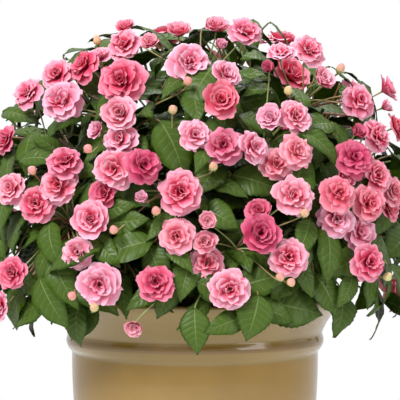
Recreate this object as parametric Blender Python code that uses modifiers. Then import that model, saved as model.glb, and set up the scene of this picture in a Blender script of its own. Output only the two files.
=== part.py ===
"""A potted busy lizzie with double blooms: glazed pot, soil, leafy shoots and sprays of blooms.

Metres, +Z up. The origin is the middle of the pot's underside, and the viewer stands towards -Y.
"""

import math
import random

import bmesh
import bpy
from mathutils import Quaternion, Vector
from mathutils.bvhtree import BVHTree

# Pot: the body's swelling curve, then radius and height of each ring of the collar and the lip
POT_HEIGHT = 0.250
FOOT_RADIUS = 0.092
BODY_RADIUS = 0.1228
BODY_TOP = 0.190
BODY_SWELL = 0.85
BODY_RINGS = 4
INNER_RINGS = 3
WALL = 0.0085
FLOOR = 0.014
COLLAR_RINGS = (
    (0.1264, 0.1980),
    (0.1284, 0.2060),
    (0.1270, 0.2130),
    (0.1305, 0.2225),
    (0.1375, 0.2330),
    (0.1455, 0.2410),
    (0.1500, 0.2468),
)
LIP_RINGS = ((0.1472, POT_HEIGHT), (0.1415, 0.2480))
INNER_COLLAR_RINGS = ((0.1290, 0.2330), (0.1192, 0.2150))
POT_STEPS = 26

# Soil, and the plain holes that the shoots stand in
SOIL_TOP = 0.228
SOIL_GAP = 0.0005
HOLE_SPREAD = 0.084
HOLE_DEPTH = 0.026
HOLE_GAP = 0.0006
HOLE_SIDES = 5

# Dome of foliage: its middle, its half widths, and how far it rises and hangs from the middle
DOME_MIDDLE = Vector((0.0, 0.0, 0.275))
DOME_ACROSS = 0.222
DOME_FRONT = 0.212
DOME_RISE = 0.256
DOME_HANG = 0.170
DOME_SQUARENESS = 2.5
DOME_DEPTH = 0.215
FACING_FLATTENED = 0.60
FACING_LIFT = 0.12
GOLDEN_TURN = math.pi * (3 - math.sqrt(5))

# The front view that the seen blooms and leaves are placed in
EYE = Vector((0.005, -1.650, 0.361))
SIGHT_STEPS = 106

# Shoots
SHOOT_COUNT = 25
SHOOT_LOWEST = 0.10
SHOOT_TIP_DEPTH = 0.060
STEM_RADIUS = 0.0044
STEM_TIP_RADIUS = 0.0024
STEM_POINTS = 6
STEM_SIDES = 5
STEM_CLEARANCE = 0.0012
STEM_UPRIGHT = 0.30
STEM_ARRIVAL = 0.32
STEM_LIFTS = (0.0, 0.012, 0.024, -0.012, 0.036, 0.05, 0.065, 0.08, 0.1)
ARRIVAL_STEEPNESS = 1.2
ARRIVAL_DROOP = 0.35
RIM_CLEARANCE = 0.003
RIM_DEPTH = 0.06
RIM_SIDES = 32
RIM_STEPS = 8

# Sprays: a spike that carries on from the shoot's tip, stalks, blooms and buds
SPIKE_LENGTH = 0.024
SPIKE_RADIUS = 0.0022
SPIKE_END_RADIUS = 0.0015
SPIKE_GAP = 0.0005
SPIKE_SHARE = (0.22, 0.92)
STALK_RADIUS = 0.0010
STALK_START = 0.005
KNEE_TURN = 1.05
KNEE_LENGTH = 0.011
BLOOM_BASE_DEPTH = 0.42
BUD_WIDTH = 0.0115
FLOWER_INSET = 0.004
PUSH_STEP = 0.005
PUSH_TRIES = 12
SWOLLEN = 1.05
SWOLLEN_STALK = 2.1
RULE_BLOOM_COUNT = 74
RULE_BLOOM_LOWEST = -0.12
RULE_BLOOM_FRONT = 0.16
RULE_BLOOM_WIDTHS = (0.030, 0.034, 0.038, 0.042)
RULE_BLOOM_TONES = (0.15, 0.3, 0.4, 0.5, 0.6, 0.75, 0.9)
PETALS = 5
LARGE_BLOOM = 0.0415
SMALL_BLOOM = 0.0285
# Each ring of a bloom: points to a petal, radius at the tips, radius at the notches, height, turn in petals
LARGE_RINGS = (
    (3, 1.00, 0.80, -0.02, 0.0),
    (1, 0.64, 0.64, 0.08, 0.5),
    (2, 0.76, 0.60, 0.26, 0.5),
    (1, 0.40, 0.40, 0.18, 1.0),
    (1, 0.42, 0.42, 0.42, 1.5),
)
MEDIUM_RINGS = (
    (2, 1.00, 0.86, 0.00, 0.0),
    (1, 0.60, 0.60, 0.10, 0.5),
    (1, 0.68, 0.68, 0.34, 1.0),
    (1, 0.30, 0.30, 0.22, 1.5),
)
SMALL_RINGS = (
    (2, 1.00, 0.86, 0.04, 0.0),
    (1, 0.50, 0.50, 0.14, 0.5),
    (1, 0.54, 0.54, 0.46, 1.0),
)
BUD_RINGS = ((1, 0.42, 0.42, 0.05, 0.0),)
LARGE_MIDDLE = 0.18
MEDIUM_MIDDLE = 0.46
SMALL_MIDDLE = 0.26
BUD_MIDDLE = 1.10

# Leaves: places along the midrib of its own points and of the margin's, as shares of the length
FINE_RIB = (0.32, 0.68)
FINE_MARGIN = (0.15, 0.45, 0.79)
COARSE_RIB = (0.46,)
COARSE_MARGIN = (0.22, 0.66)
LEAF_ARCH = 0.10
LEAF_FOLD = 0.20
LEAF_WAVE = 0.030
LEAF_THICKNESS = 0.0016
LEAF_PEAK = 0.40
LEAF_SHARPNESS = 1.15
LEAF_STALK_RADIUS = 0.0011
LEAF_SHORTEST = 0.042
LEAF_LEAN = 0.032
LEAF_REACH = 0.075
LEAF_BEND = 1.15
LEAF_ROOTS_TRIED = 9
LEAF_ROOT_SHARES = (0.08, 0.25, 0.42, 0.59, 0.76, 0.93)
# The tries at a leaf's place: how far it is drawn in from the skin, its swing in degrees, and its slide
LEAF_TRIES = (
    (0.004, 0, 0.0),
    (0.008, 0, 0.0),
    (0.008, 14, 0.0),
    (0.008, -14, 0.0),
    (0.013, 0, 0.004),
    (0.013, 20, 0.0),
    (0.013, -20, 0.0),
    (0.019, 0, 0.006),
    (0.019, 28, 0.0),
    (0.019, -28, 0.0),
    (0.026, 0, 0.0),
    (0.026, 35, 0.008),
    (0.026, -35, 0.008),
    (0.034, 0, 0.0),
    (0.034, 45, 0.0),
    (0.034, -45, 0.0),
    (0.043, 0, 0.0),
    (0.043, 60, 0.0),
    (0.052, -60, 0.0),
)
LEAF_FOOT_INSET = 0.012
LEAF_LOWEST = 0.200
LEAF_STALK_START = 0.0075
LEAF_STALK_SHORTEST = 0.009
LEAF_STALK_BEHIND = 0.015
LEAF_STALK_BELOW = 0.004
LEAF_SWOLLEN = 1.04
SWOLLEN_THICKNESS = 0.0027
RULE_LEAF_COUNT = 158
RULE_LEAF_LOWEST = -0.24
RULE_LEAF_FRONT = -0.05
RULE_LEAF_LENGTHS = (0.047, 0.061)
RULE_LEAF_PROPORTIONS = (0.58, 0.68)
RULE_LEAF_SWING = 75
INNER_LEAF_INSET = 0.024

# Blooms seen from the front: place across and up, width, tone from pale to deep, turn to the right and
# lean upwards in degrees
SEEN_BLOOMS = (
    (-0.070, 0.519, 0.026, 0.60, -20, 15),
    (-0.072, 0.502, 0.035, 0.50, 0, 0),
    (-0.045, 0.503, 0.024, 0.45, 0, 10),
    (-0.016, 0.514, 0.030, 0.50, 0, 25),
    (-0.113, 0.481, 0.036, 0.85, -50, -10),
    (-0.096, 0.490, 0.028, 0.10, -30, 30),
    (-0.075, 0.466, 0.047, 0.80, 0, -5),
    (-0.004, 0.484, 0.046, 0.15, 25, -15),
    (-0.139, 0.472, 0.036, 0.55, 15, 0),
    (-0.169, 0.453, 0.034, 0.50, -10, 10),
    (-0.134, 0.446, 0.042, 0.30, 15, 0),
    (-0.076, 0.433, 0.040, 0.30, 0, 0),
    (-0.191, 0.406, 0.032, 0.75, 10, 0),
    (-0.131, 0.386, 0.036, 0.65, 10, 40),
    (-0.077, 0.407, 0.037, 0.25, 0, -10),
    (-0.098, 0.416, 0.026, 0.15, -50, 0),
    (-0.082, 0.377, 0.043, 0.40, 0, -10),
    (-0.050, 0.381, 0.038, 0.90, 30, 0),
    (-0.138, 0.361, 0.041, 0.40, 10, 0),
    (-0.186, 0.358, 0.034, 0.30, 20, 0),
    (-0.159, 0.342, 0.041, 0.70, 20, 0),
    (-0.092, 0.353, 0.032, 0.85, 0, 0),
    (-0.014, 0.354, 0.047, 0.60, 0, 0),
    (0.001, 0.411, 0.035, 0.20, 15, -5),
    (-0.054, 0.347, 0.020, 0.10, 0, 35),
    (0.021, 0.519, 0.031, 0.45, 0, 15),
    (0.052, 0.515, 0.034, 0.50, 20, 0),
    (0.026, 0.500, 0.020, 0.25, 20, 10),
    (0.032, 0.473, 0.032, 0.20, 50, 0),
    (0.026, 0.446, 0.041, 0.70, 0, 5),
    (0.086, 0.493, 0.032, 0.35, 0, 35),
    (0.116, 0.497, 0.036, 0.40, 0, 0),
    (0.097, 0.473, 0.042, 0.75, 0, -10),
    (0.073, 0.478, 0.020, 0.90, -30, 0),
    (0.128, 0.466, 0.032, 0.20, 30, 0),
    (0.165, 0.446, 0.035, 0.45, -15, 0),
    (0.193, 0.457, 0.033, 0.50, -10, 0),
    (0.191, 0.439, 0.020, 0.15, -10, 0),
    (0.102, 0.430, 0.036, 0.35, 25, 0),
    (0.074, 0.428, 0.030, 0.15, -45, 0),
    (0.029, 0.401, 0.043, 0.60, 0, -5),
    (0.060, 0.398, 0.036, 0.25, 35, 0),
    (0.104, 0.395, 0.037, 0.30, 10, 0),
    (0.082, 0.382, 0.036, 0.35, 0, 0),
    (0.163, 0.414, 0.024, 0.85, 0, 20),
    (0.185, 0.411, 0.035, 0.50, -10, 0),
    (0.202, 0.419, 0.030, 0.55, -15, 0),
    (0.161, 0.389, 0.040, 0.90, -20, 0),
    (0.183, 0.370, 0.038, 0.50, -20, -5),
    (0.099, 0.351, 0.041, 0.35, 0, 20),
    (0.145, 0.352, 0.040, 0.60, 0, 10),
    (0.176, 0.342, 0.038, 0.55, -10, 0),
    (0.200, 0.354, 0.032, 0.35, -15, 0),
    (-0.105, 0.327, 0.041, 0.55, 10, 0),
    (-0.118, 0.293, 0.035, 0.20, 10, 0),
    (-0.184, 0.273, 0.034, 0.80, 25, 0),
    (-0.096, 0.261, 0.044, 0.20, 10, 0),
    (-0.040, 0.264, 0.038, 0.85, 0, 25),
    (-0.018, 0.309, 0.037, 0.35, 0, 0),
    (-0.061, 0.218, 0.026, 0.10, 0, -30),
    (-0.197, 0.240, 0.030, 0.50, 10, 0),
    (0.013, 0.324, 0.024, 0.20, 0, 0),
    (0.010, 0.304, 0.028, 0.35, 0, 0),
    (0.012, 0.283, 0.038, 0.45, 10, 0),
    (0.035, 0.256, 0.043, 0.35, 0, 0),
    (0.067, 0.312, 0.043, 0.95, 0, 0),
    (0.095, 0.288, 0.041, 0.50, 0, 0),
    (0.064, 0.335, 0.030, 0.85, -20, 30),
    (0.142, 0.326, 0.039, 0.15, -20, 0),
    (0.167, 0.314, 0.038, 0.20, -10, 0),
    (0.176, 0.283, 0.039, 0.70, -15, 0),
    (0.196, 0.339, 0.030, 0.55, -10, 0),
    (0.088, 0.421, 0.024, 0.80, 0, 0),
    (0.150, 0.367, 0.026, 0.85, 0, 0),
)

# Buds seen from the front: place across and up
SEEN_BUDS = (
    (-0.040, 0.332),
    (-0.082, 0.315),
    (-0.101, 0.236),
    (-0.162, 0.373),
    (-0.107, 0.395),
    (-0.097, 0.503),
    (0.018, 0.377),
    (0.144, 0.475),
    (0.108, 0.331),
    (0.084, 0.267),
    (0.096, 0.263),
    (0.191, 0.269),
    (0.094, 0.453),
    (-0.122, 0.248),
    (-0.008, 0.462),
    (-0.023, 0.434),
)

# Leaves seen from the front: place across and up of the blade's foot and of its tip, and its width
SEEN_LEAVES = (
    (-0.144, 0.434, -0.189, 0.425, 0.028),
    (-0.173, 0.409, -0.176, 0.370, 0.029),
    (-0.154, 0.405, -0.168, 0.414, 0.016),
    (-0.096, 0.453, -0.130, 0.462, 0.024),
    (-0.065, 0.444, -0.023, 0.441, 0.028),
    (-0.004, 0.455, -0.005, 0.424, 0.027),
    (-0.055, 0.491, -0.038, 0.475, 0.022),
    (-0.085, 0.503, -0.109, 0.502, 0.020),
    (-0.057, 0.512, -0.040, 0.514, 0.018),
    (0.005, 0.509, -0.032, 0.503, 0.024),
    (-0.094, 0.434, -0.115, 0.416, 0.018),
    (-0.089, 0.449, -0.103, 0.434, 0.018),
    (-0.011, 0.398, -0.043, 0.378, 0.023),
    (-0.013, 0.416, -0.034, 0.418, 0.018),
    (0.012, 0.396, 0.003, 0.374, 0.020),
    (-0.120, 0.370, -0.104, 0.356, 0.018),
    (-0.058, 0.407, -0.032, 0.403, 0.024),
    (-0.184, 0.440, -0.215, 0.428, 0.026),
    (-0.014, 0.463, -0.031, 0.449, 0.018),
    (-0.183, 0.433, -0.196, 0.415, 0.020),
    (0.037, 0.503, 0.082, 0.500, 0.026),
    (0.008, 0.493, 0.034, 0.487, 0.018),
    (0.071, 0.485, 0.050, 0.488, 0.018),
    (0.050, 0.469, 0.072, 0.472, 0.018),
    (0.071, 0.456, 0.046, 0.448, 0.018),
    (0.073, 0.469, 0.084, 0.450, 0.018),
    (0.102, 0.455, 0.122, 0.434, 0.022),
    (0.118, 0.461, 0.139, 0.443, 0.018),
    (0.041, 0.437, 0.073, 0.424, 0.028),
    (0.049, 0.387, 0.058, 0.359, 0.022),
    (0.055, 0.385, 0.071, 0.363, 0.018),
    (0.022, 0.374, 0.026, 0.337, 0.030),
    (0.031, 0.357, 0.052, 0.347, 0.018),
    (0.120, 0.412, 0.117, 0.378, 0.023),
    (0.129, 0.380, 0.126, 0.353, 0.020),
    (0.127, 0.417, 0.160, 0.403, 0.022),
    (0.150, 0.416, 0.171, 0.408, 0.018),
    (0.155, 0.434, 0.167, 0.424, 0.016),
    (0.176, 0.454, 0.187, 0.442, 0.016),
    (0.143, 0.444, 0.127, 0.428, 0.018),
    (0.154, 0.459, 0.170, 0.462, 0.018),
    (0.205, 0.397, 0.179, 0.387, 0.018),
    (0.143, 0.453, 0.151, 0.417, 0.020),
    (0.138, 0.450, 0.146, 0.415, 0.018),
    (-0.172, 0.330, -0.186, 0.288, 0.032),
    (-0.125, 0.317, -0.148, 0.334, 0.020),
    (-0.087, 0.334, -0.055, 0.342, 0.020),
    (-0.082, 0.319, -0.050, 0.308, 0.025),
    (-0.037, 0.317, -0.053, 0.303, 0.018),
    (-0.099, 0.304, -0.074, 0.281, 0.024),
    (-0.130, 0.307, -0.161, 0.289, 0.022),
    (-0.138, 0.248, -0.191, 0.251, 0.034),
    (-0.119, 0.254, -0.152, 0.261, 0.024),
    (-0.164, 0.239, -0.161, 0.200, 0.032),
    (-0.193, 0.232, -0.198, 0.200, 0.028),
    (-0.119, 0.245, -0.143, 0.236, 0.018),
    (-0.115, 0.245, -0.115, 0.198, 0.030),
    (-0.097, 0.238, -0.079, 0.207, 0.025),
    (-0.062, 0.218, -0.076, 0.182, 0.026),
    (-0.043, 0.233, -0.041, 0.188, 0.024),
    (-0.047, 0.249, -0.072, 0.233, 0.020),
    (-0.043, 0.250, -0.024, 0.231, 0.020),
    (-0.001, 0.237, 0.000, 0.190, 0.028),
    (-0.007, 0.275, -0.019, 0.240, 0.026),
    (-0.004, 0.237, -0.026, 0.229, 0.016),
    (-0.017, 0.290, -0.002, 0.272, 0.018),
    (-0.071, 0.257, -0.071, 0.226, 0.018),
    (-0.121, 0.283, -0.140, 0.274, 0.018),
    (0.021, 0.328, 0.049, 0.314, 0.030),
    (0.039, 0.300, 0.067, 0.282, 0.022),
    (0.088, 0.268, 0.058, 0.260, 0.026),
    (0.063, 0.247, 0.054, 0.204, 0.034),
    (0.069, 0.256, 0.088, 0.236, 0.024),
    (0.104, 0.276, 0.119, 0.244, 0.022),
    (0.123, 0.264, 0.145, 0.225, 0.032),
    (0.107, 0.243, 0.151, 0.203, 0.030),
    (0.155, 0.266, 0.146, 0.233, 0.022),
    (0.151, 0.231, 0.175, 0.214, 0.024),
    (0.180, 0.264, 0.177, 0.227, 0.024),
    (0.205, 0.242, 0.205, 0.212, 0.024),
    (0.119, 0.303, 0.160, 0.271, 0.030),
    (0.113, 0.323, 0.088, 0.299, 0.024),
    (0.127, 0.329, 0.109, 0.306, 0.020),
    (0.111, 0.300, 0.124, 0.272, 0.018),
    (0.205, 0.317, 0.189, 0.294, 0.028),
    (0.200, 0.297, 0.191, 0.270, 0.022),
    (0.027, 0.283, 0.046, 0.273, 0.018),
)

UP = Vector((0, 0, 1))


def fullness(point, inset=0.0):
    """How far out a point stands: 1 on the dome's skin, or on the skin drawn in by inset."""
    offset = (point - DOME_MIDDLE) / (1 - inset / DOME_DEPTH)
    rise = DOME_RISE if offset.z > 0 else DOME_HANG
    parts = (offset.x / DOME_ACROSS, offset.y / DOME_FRONT, offset.z / rise)
    return sum(abs(part) ** DOME_SQUARENESS for part in parts)


def outward(point):
    """The way out of the dome at a point, flatter than its skin, as blooms turn to the light at the side."""
    offset = point - DOME_MIDDLE
    rise = DOME_RISE if offset.z > 0 else DOME_HANG
    power = DOME_SQUARENESS - 1
    parts = ((offset.x, DOME_ACROSS), (offset.y, DOME_FRONT), (offset.z, rise))
    slope = Vector([math.copysign(abs(part / reach) ** power, part) / reach for part, reach in parts])
    slope.normalize()
    slope.z = FACING_FLATTENED * slope.z + FACING_LIFT
    return slope.normalized()


def on_skin(direction, inset):
    """The point of the dome's skin, drawn in by inset, along a direction from its middle."""
    reach = fullness(DOME_MIDDLE + direction) ** (-1 / DOME_SQUARENESS)
    return DOME_MIDDLE + direction * reach * (1 - inset / DOME_DEPTH)


def in_sight(across, up, inset, side_step=0.0):
    """Where the line of sight through a place in the pot's middle plane meets the dome, drawn in by inset."""
    aim = Vector((across, 0, up)) - EYE
    for step in range(SIGHT_STEPS + 1):
        depth = side_step + (step / SIGHT_STEPS - 1) * DOME_FRONT
        point = EYE + aim * ((depth - EYE.y) / -EYE.y)
        if fullness(point, inset) <= 1:
            break
    return point


def level_with(foot, tip):
    """The tip moved along its line of sight to within a leaf's lean of the foot's depth."""
    depth = min(max(tip.y, foot.y - LEAF_LEAN), foot.y + LEAF_LEAN)
    return EYE + (tip - EYE) * ((depth - EYE.y) / (tip.y - EYE.y))


def spiral(count, lowest, offset):
    """Directions spread evenly from straight up down to a lowest rise, round a golden spiral."""
    for k in range(count):
        rise = 1 - (1 - lowest) * (k + 0.5) / count
        level = math.sqrt(1 - rise * rise)
        angle = k * GOLDEN_TURN + offset
        yield Vector((level * math.cos(angle), level * math.sin(angle), rise))


def turned(facing, turn, lean):
    """A facing turned to the right round the vertical and leant upwards, in degrees."""
    flat = Quaternion(UP, math.radians(turn)) @ Vector((facing.x, facing.y, 0))
    rise = min(1.45, math.atan2(facing.z, flat.length) + math.radians(lean))
    return flat.normalized() * math.cos(rise) + UP * math.sin(rise)


def stitch(low, high):
    """Triangles between two rings of unlike counts, given as lists of vertex numbers."""
    faces = []
    i = j = 0
    steps_low = len(low) if len(low) > 1 else 0
    steps_high = len(high) if len(high) > 1 else 0
    while i < steps_low or j < steps_high:
        share_low = (i + 1) / steps_low if i < steps_low else 2
        share_high = (j + 1) / steps_high if j < steps_high else 2
        here, there = low[i % len(low)], high[j % len(high)]
        if share_low <= share_high:
            i += 1
            faces.append((here, low[i % len(low)], there))
        else:
            j += 1
            faces.append((here, high[j % len(high)], there))
    return faces


def flower_kind(width):
    """The rings and the middle's height that a bloom or bud of this width is lofted through."""
    if width <= BUD_WIDTH:
        return BUD_RINGS, BUD_MIDDLE
    if width <= SMALL_BLOOM:
        return SMALL_RINGS, SMALL_MIDDLE
    if width <= LARGE_BLOOM:
        return MEDIUM_RINGS, MEDIUM_MIDDLE
    return LARGE_RINGS, LARGE_MIDDLE


def stalk_line(root, base, facing):
    """The stalk's points from root to bloom, with a knee where it would arrive from the side."""
    if (base - root).angle(facing, 0) < KNEE_TURN:
        return [root, base]
    return [root, base - facing * KNEE_LENGTH, base]


def flower(root, place, facing, width, seed):
    """A bloom or bud with its stalk as one closed loft: the stalk's sections, then rings of petals."""
    draw = random.Random(seed)
    radius = width / 2
    rings, middle = flower_kind(width)
    line = stalk_line(root, place - facing * BLOOM_BASE_DEPTH * radius, facing)
    across = (line[1] - line[0]).cross(facing)
    side = across.normalized() if across.length > 0.004 else facing.orthogonal().normalized()
    points = []
    faces = [(0, 2, 1)]
    last = []
    ways = [(after - before).normalized() for before, after in zip(line, line[1:])] + [facing]
    for number, centre in enumerate(line):
        along = (ways[number] + ways[number - 1]).normalized() if number else ways[0]
        over = along.cross(side)
        ring = []
        for k in range(3):
            angle = math.tau * k / 3
            ring.append(len(points))
            points.append(centre + (side * math.cos(angle) + over * math.sin(angle)) * STALK_RADIUS)
        faces += stitch(last, ring) if last else []
        last = ring
    over = facing.cross(side)
    spin = draw.uniform(-0.5, 0.5)
    for per_petal, tip, notch, height, turn in rings:
        ring = []
        for k in range(per_petal * PETALS):
            at_notch = per_petal > 1 and k % per_petal == 0
            reach = radius * (notch if at_notch else tip) * draw.uniform(0.92, 1.04)
            share = k / per_petal + turn
            if per_petal == 3 and not at_notch:
                share += 0.08 if k % per_petal == 2 else -0.08
            angle = spin + math.tau * share / PETALS
            rise = radius * (height + draw.uniform(-0.05, 0.05))
            ring.append(len(points))
            flat = side * math.cos(angle) + over * math.sin(angle)
            points.append(place + flat * reach + facing * rise)
        faces += stitch(last, ring)
        last = ring
    points.append(place + facing * radius * middle)
    faces += stitch(last, [len(points) - 1])
    return points, faces


def blade_half_width(share):
    """A leaf's half width along its length, 1 at its widest: an oval that draws out to the tip."""
    rise = share / LEAF_PEAK
    fall = (1 - share) / (1 - LEAF_PEAK)
    power = LEAF_SHARPNESS * LEAF_PEAK / (1 - LEAF_PEAK)
    return rise**power * fall**LEAF_SHARPNESS


def margin_fan(base, ribs, end, margin):
    """Triangles across one half of a blade, in a zigzag between its midrib and its margin."""
    faces = [(base, ribs[0], margin[0])]
    for k, rib in enumerate(ribs):
        faces.append((margin[k], rib, margin[k + 1]))
        faces.append((rib, ribs[k + 1] if k + 1 < len(ribs) else end, margin[k + 1]))
    return faces


def leaf(root, foot, tip, normal, width, fine, thickness=LEAF_THICKNESS):
    """A leaf with its stalk as one closed loft: a root in the stem, an arched and folded blade, a tip."""
    along = tip - foot
    length = along.length
    side = along.cross(normal).normalized()
    top = side.cross(along).normalized()
    bend = along.rotation_difference(foot - root)
    ribs, margin = (FINE_RIB, FINE_MARGIN) if fine else (COARSE_RIB, COARSE_MARGIN)

    def rib_point(share):
        return foot + along * share + top * 4 * share * (1 - share) * LEAF_ARCH * length

    points = []
    for centre, right, high in ((root, bend @ side, bend @ top), (foot, side, top)):
        right, high = right * LEAF_STALK_RADIUS, high * LEAF_STALK_RADIUS * 1.5
        points += [centre - right, centre + right, centre - high]
    points += [rib_point(share) for share in ribs]
    points += [rib_point(share) - top * thickness for share in ribs]
    points.append(tip)
    for hand in (-1, 1):
        for number, share in enumerate(margin):
            half = blade_half_width(share) * width / 2
            wave = LEAF_WAVE * length * (1 if (number % 2) == (hand > 0) else -1)
            points.append(rib_point(share) + side * half * hand + top * (half * LEAF_FOLD + wave))
    upper = list(range(6, 6 + len(ribs)))
    under = [k + len(ribs) for k in upper]
    end = under[-1] + 1
    left = list(range(end + 1, end + 1 + len(margin)))
    right = [k + len(margin) for k in left]
    faces = [(0, 2, 1), (3, 4, upper[0]), (3, under[0], 5), (5, under[0], 4)]
    for a, b in ((0, 1), (1, 2), (2, 0)):
        faces += [(a, b, b + 3), (a, b + 3, a + 3)]
    faces += margin_fan(3, upper, end, left)
    faces += [face[::-1] for face in margin_fan(3, under, end, left)]
    faces += [face[::-1] for face in margin_fan(4, upper, end, right)]
    faces += margin_fan(4, under, end, right)
    return points, faces


def stem_line(number, tip, lift):
    """A shoot's points from the bottom of its hole, upright out of the soil, and in an arch to its tip."""
    angle = number * GOLDEN_TURN
    spread = HOLE_SPREAD * math.sqrt((number + 0.5) / SHOOT_COUNT)
    ground = Vector((spread * math.cos(angle), spread * math.sin(angle), SOIL_TOP))
    reach = (tip - ground).length
    away = (tip - DOME_MIDDLE).normalized()
    arrival = Vector((away.x, away.y, away.z * ARRIVAL_STEEPNESS - ARRIVAL_DROOP)).normalized()
    line = [ground - UP * HOLE_DEPTH, ground + UP * 0.002]
    above = ground + UP * (STEM_UPRIGHT * reach + lift)
    before = tip - arrival * STEM_ARRIVAL * reach
    for step in range(1, STEM_POINTS - 1):
        t = step / (STEM_POINTS - 2)
        weights = ((1 - t) ** 3, 3 * t * (1 - t) ** 2, 3 * t * t * (1 - t), t**3)
        ends = (line[1], above, before, tip)
        line.append(sum((end * weight for end, weight in zip(ends, weights)), Vector()))
    return line


def stem_radii():
    """The stem's radius at each of its points, with the buried foot at full width."""
    taper = STEM_TIP_RADIUS - STEM_RADIUS
    return [STEM_RADIUS] + [STEM_RADIUS + taper * k / (STEM_POINTS - 2) for k in range(STEM_POINTS - 1)]


def rough_tube(line, radii, sides):
    """An open tube round a line, used only to test what is clear of it."""
    points, faces = [], []
    last = []
    for k, (centre, radius) in enumerate(zip(line, radii)):
        along = (line[min(k + 1, len(line) - 1)] - line[max(k - 1, 0)]).normalized()
        side = along.orthogonal().normalized()
        over = along.cross(side)
        ring = []
        for s in range(sides):
            angle = math.tau * s / sides
            ring.append(len(points))
            points.append(centre + (side * math.cos(angle) + over * math.sin(angle)) * radius)
        faces += stitch(last, ring) if last else []
        last = ring
    return points, faces


class Room:
    """What is already in place, each with an owner that may cross it, and the pot's rim to keep clear of."""

    def __init__(self):
        self.held = []
        self.rim_radius = COLLAR_RINGS[-1][0] + RIM_CLEARANCE
        self.rim_height = POT_HEIGHT + RIM_CLEARANCE
        self.add(self.rim(), "rim")

    def rim(self):
        """The space that the rim and the ground inside it take, as a closed can."""
        points = []
        for height in (self.rim_height - RIM_DEPTH, self.rim_height):
            for k in range(RIM_SIDES):
                around = Quaternion(UP, math.tau * k / RIM_SIDES) @ Vector((self.rim_radius, 0, 0))
                points.append(around + UP * height)
        points.append(UP * self.rim_height)
        low, high = list(range(RIM_SIDES)), list(range(RIM_SIDES, 2 * RIM_SIDES))
        return points, stitch(low, high) + stitch(high, [2 * RIM_SIDES])

    def in_pot(self, point):
        return point.z < self.rim_height and point.xy.length < self.rim_radius

    def add(self, shape, owner=None):
        self.held.append((*self.ball(shape[0]), BVHTree.FromPolygons(*shape), owner))

    @staticmethod
    def ball(points):
        centre = sum(points, Vector()) / len(points)
        return centre, max((point - centre).length for point in points)

    def clear(self, shape, owner="none"):
        """Whether a shape stays out of the pot and crosses nothing but what its owner holds."""
        if any(self.in_pot(point) for point in shape[0]):
            return False
        centre, radius = self.ball(shape[0])
        tree = None
        for other_centre, other_radius, other_tree, other_owner in self.held:
            if other_owner == owner or (other_centre - centre).length > other_radius + radius:
                continue
            tree = tree or BVHTree.FromPolygons(*shape)
            if tree.overlap(other_tree):
                return False
        return True

    def clears_rim(self, line, radius):
        """Whether a stem passes over the rim's inner edge and its top."""
        inner_edge = COLLAR_RINGS[3][0] - WALL - STEM_CLEARANCE
        for start, end in zip(line[1:], line[2:]):
            for step in range(RIM_STEPS):
                point = start.lerp(end, step / RIM_STEPS)
                if point.xy.length + radius > inner_edge and self.in_pot(point - UP * radius):
                    return False
        return True


def place_stems(tips, room):
    """Arches each stem from the soil to its tip, raised or lowered until it is clear of those before it."""
    stems = []
    radii = [radius + STEM_CLEARANCE for radius in stem_radii()]
    for number, tip in enumerate(tips):
        for lift in STEM_LIFTS:
            line = stem_line(number, tip, lift)
            tube_shape = rough_tube(line[1:], radii[1:], STEM_SIDES)
            tree = BVHTree.FromPolygons(*tube_shape)
            crossed = any(tree.overlap(held[2]) for held in room.held if held[3] != "rim")
            if not crossed and room.clears_rim(line, STEM_RADIUS):
                break
        room.add(tube_shape, ("stem", number))
        room.add(rough_tube(spike_line(line), [SPIKE_RADIUS * 1.4] * 2, 5), ("spray", number))
        stems.append(line)
    return stems


def spike_line(stem):
    """The two ends of the spike that carries a shoot's flowers, just off the shoot's tip."""
    along = (stem[-1] - stem[-2]).normalized()
    start = stem[-1] + along * SPIKE_GAP
    return [start, start + along * SPIKE_LENGTH]


def spike_place(spike, number):
    """Where the numbered flower's stalk starts: heights spread along the spike by the golden ratio."""
    low, high = SPIKE_SHARE
    return spike[0].lerp(spike[1], low + (high - low) * (number * 0.618 % 1))


def flower_orders(draw):
    """Every bloom and bud wanted: a function of inset giving its place, then width, tone, turn and lean."""
    orders = []
    for across, up, width, tone, turn, lean in SEEN_BLOOMS:
        step = draw.uniform(-0.02, 0.0)
        orders.append((lambda d, a=across, u=up, s=step: in_sight(a, u, d, s), width, tone, turn, lean, True))
    for across, up in SEEN_BUDS:
        orders.append((lambda d, a=across, u=up: in_sight(a, u, d), BUD_WIDTH, 0.3, 0, 25, False))
    for way in spiral(RULE_BLOOM_COUNT, RULE_BLOOM_LOWEST, 1.1):
        if way.y < RULE_BLOOM_FRONT:
            continue
        width = draw.choice(RULE_BLOOM_WIDTHS)
        tone = draw.choice(RULE_BLOOM_TONES)
        turn, lean = draw.uniform(-20, 20), draw.uniform(-10, 25)
        orders.append((lambda d, w=way: on_skin(w, d), width, tone, turn, lean, False))
    return orders


def place_flowers(spikes, room):
    """Gives each bloom to a near spike, and pushes it in until it and its stalk cross nothing."""
    draw = random.Random(11)
    flowers = []
    counts = [0] * len(spikes)
    for number, (place_at, wanted, tone, turn, lean, seen) in enumerate(flower_orders(draw)):
        for push in range(PUSH_TRIES):
            place = place_at(FLOWER_INSET + push * PUSH_STEP)
            facing = turned(outward(place), turn, lean)
            width = wanted * (place - EYE).length / EYE.length if seen else wanted
            near = sorted(range(len(spikes)), key=lambda k: (spikes[k][1] - place).length)[:3]
            base = place - facing * BLOOM_BASE_DEPTH * width / 2
            head = flower(base - facing * 0.001, place, facing, width * SWOLLEN, number)
            if not room.clear(head):
                continue
            for owner in near:
                root = spike_place(spikes[owner], counts[owner])
                line = stalk_line(root + (base - root).normalized() * STALK_START, base, facing)
                stalk = rough_tube(line, [STALK_RADIUS * SWOLLEN_STALK] * len(line), 3)
                if room.clear(stalk, ("spray", owner)):
                    break
            else:
                continue
            room.add(stalk, ("spray", owner))
            room.add(head, "bloom")
            flowers.append((owner, root, place, facing, width, tone, number))
            counts[owner] += 1
            break
    return flowers


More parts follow.
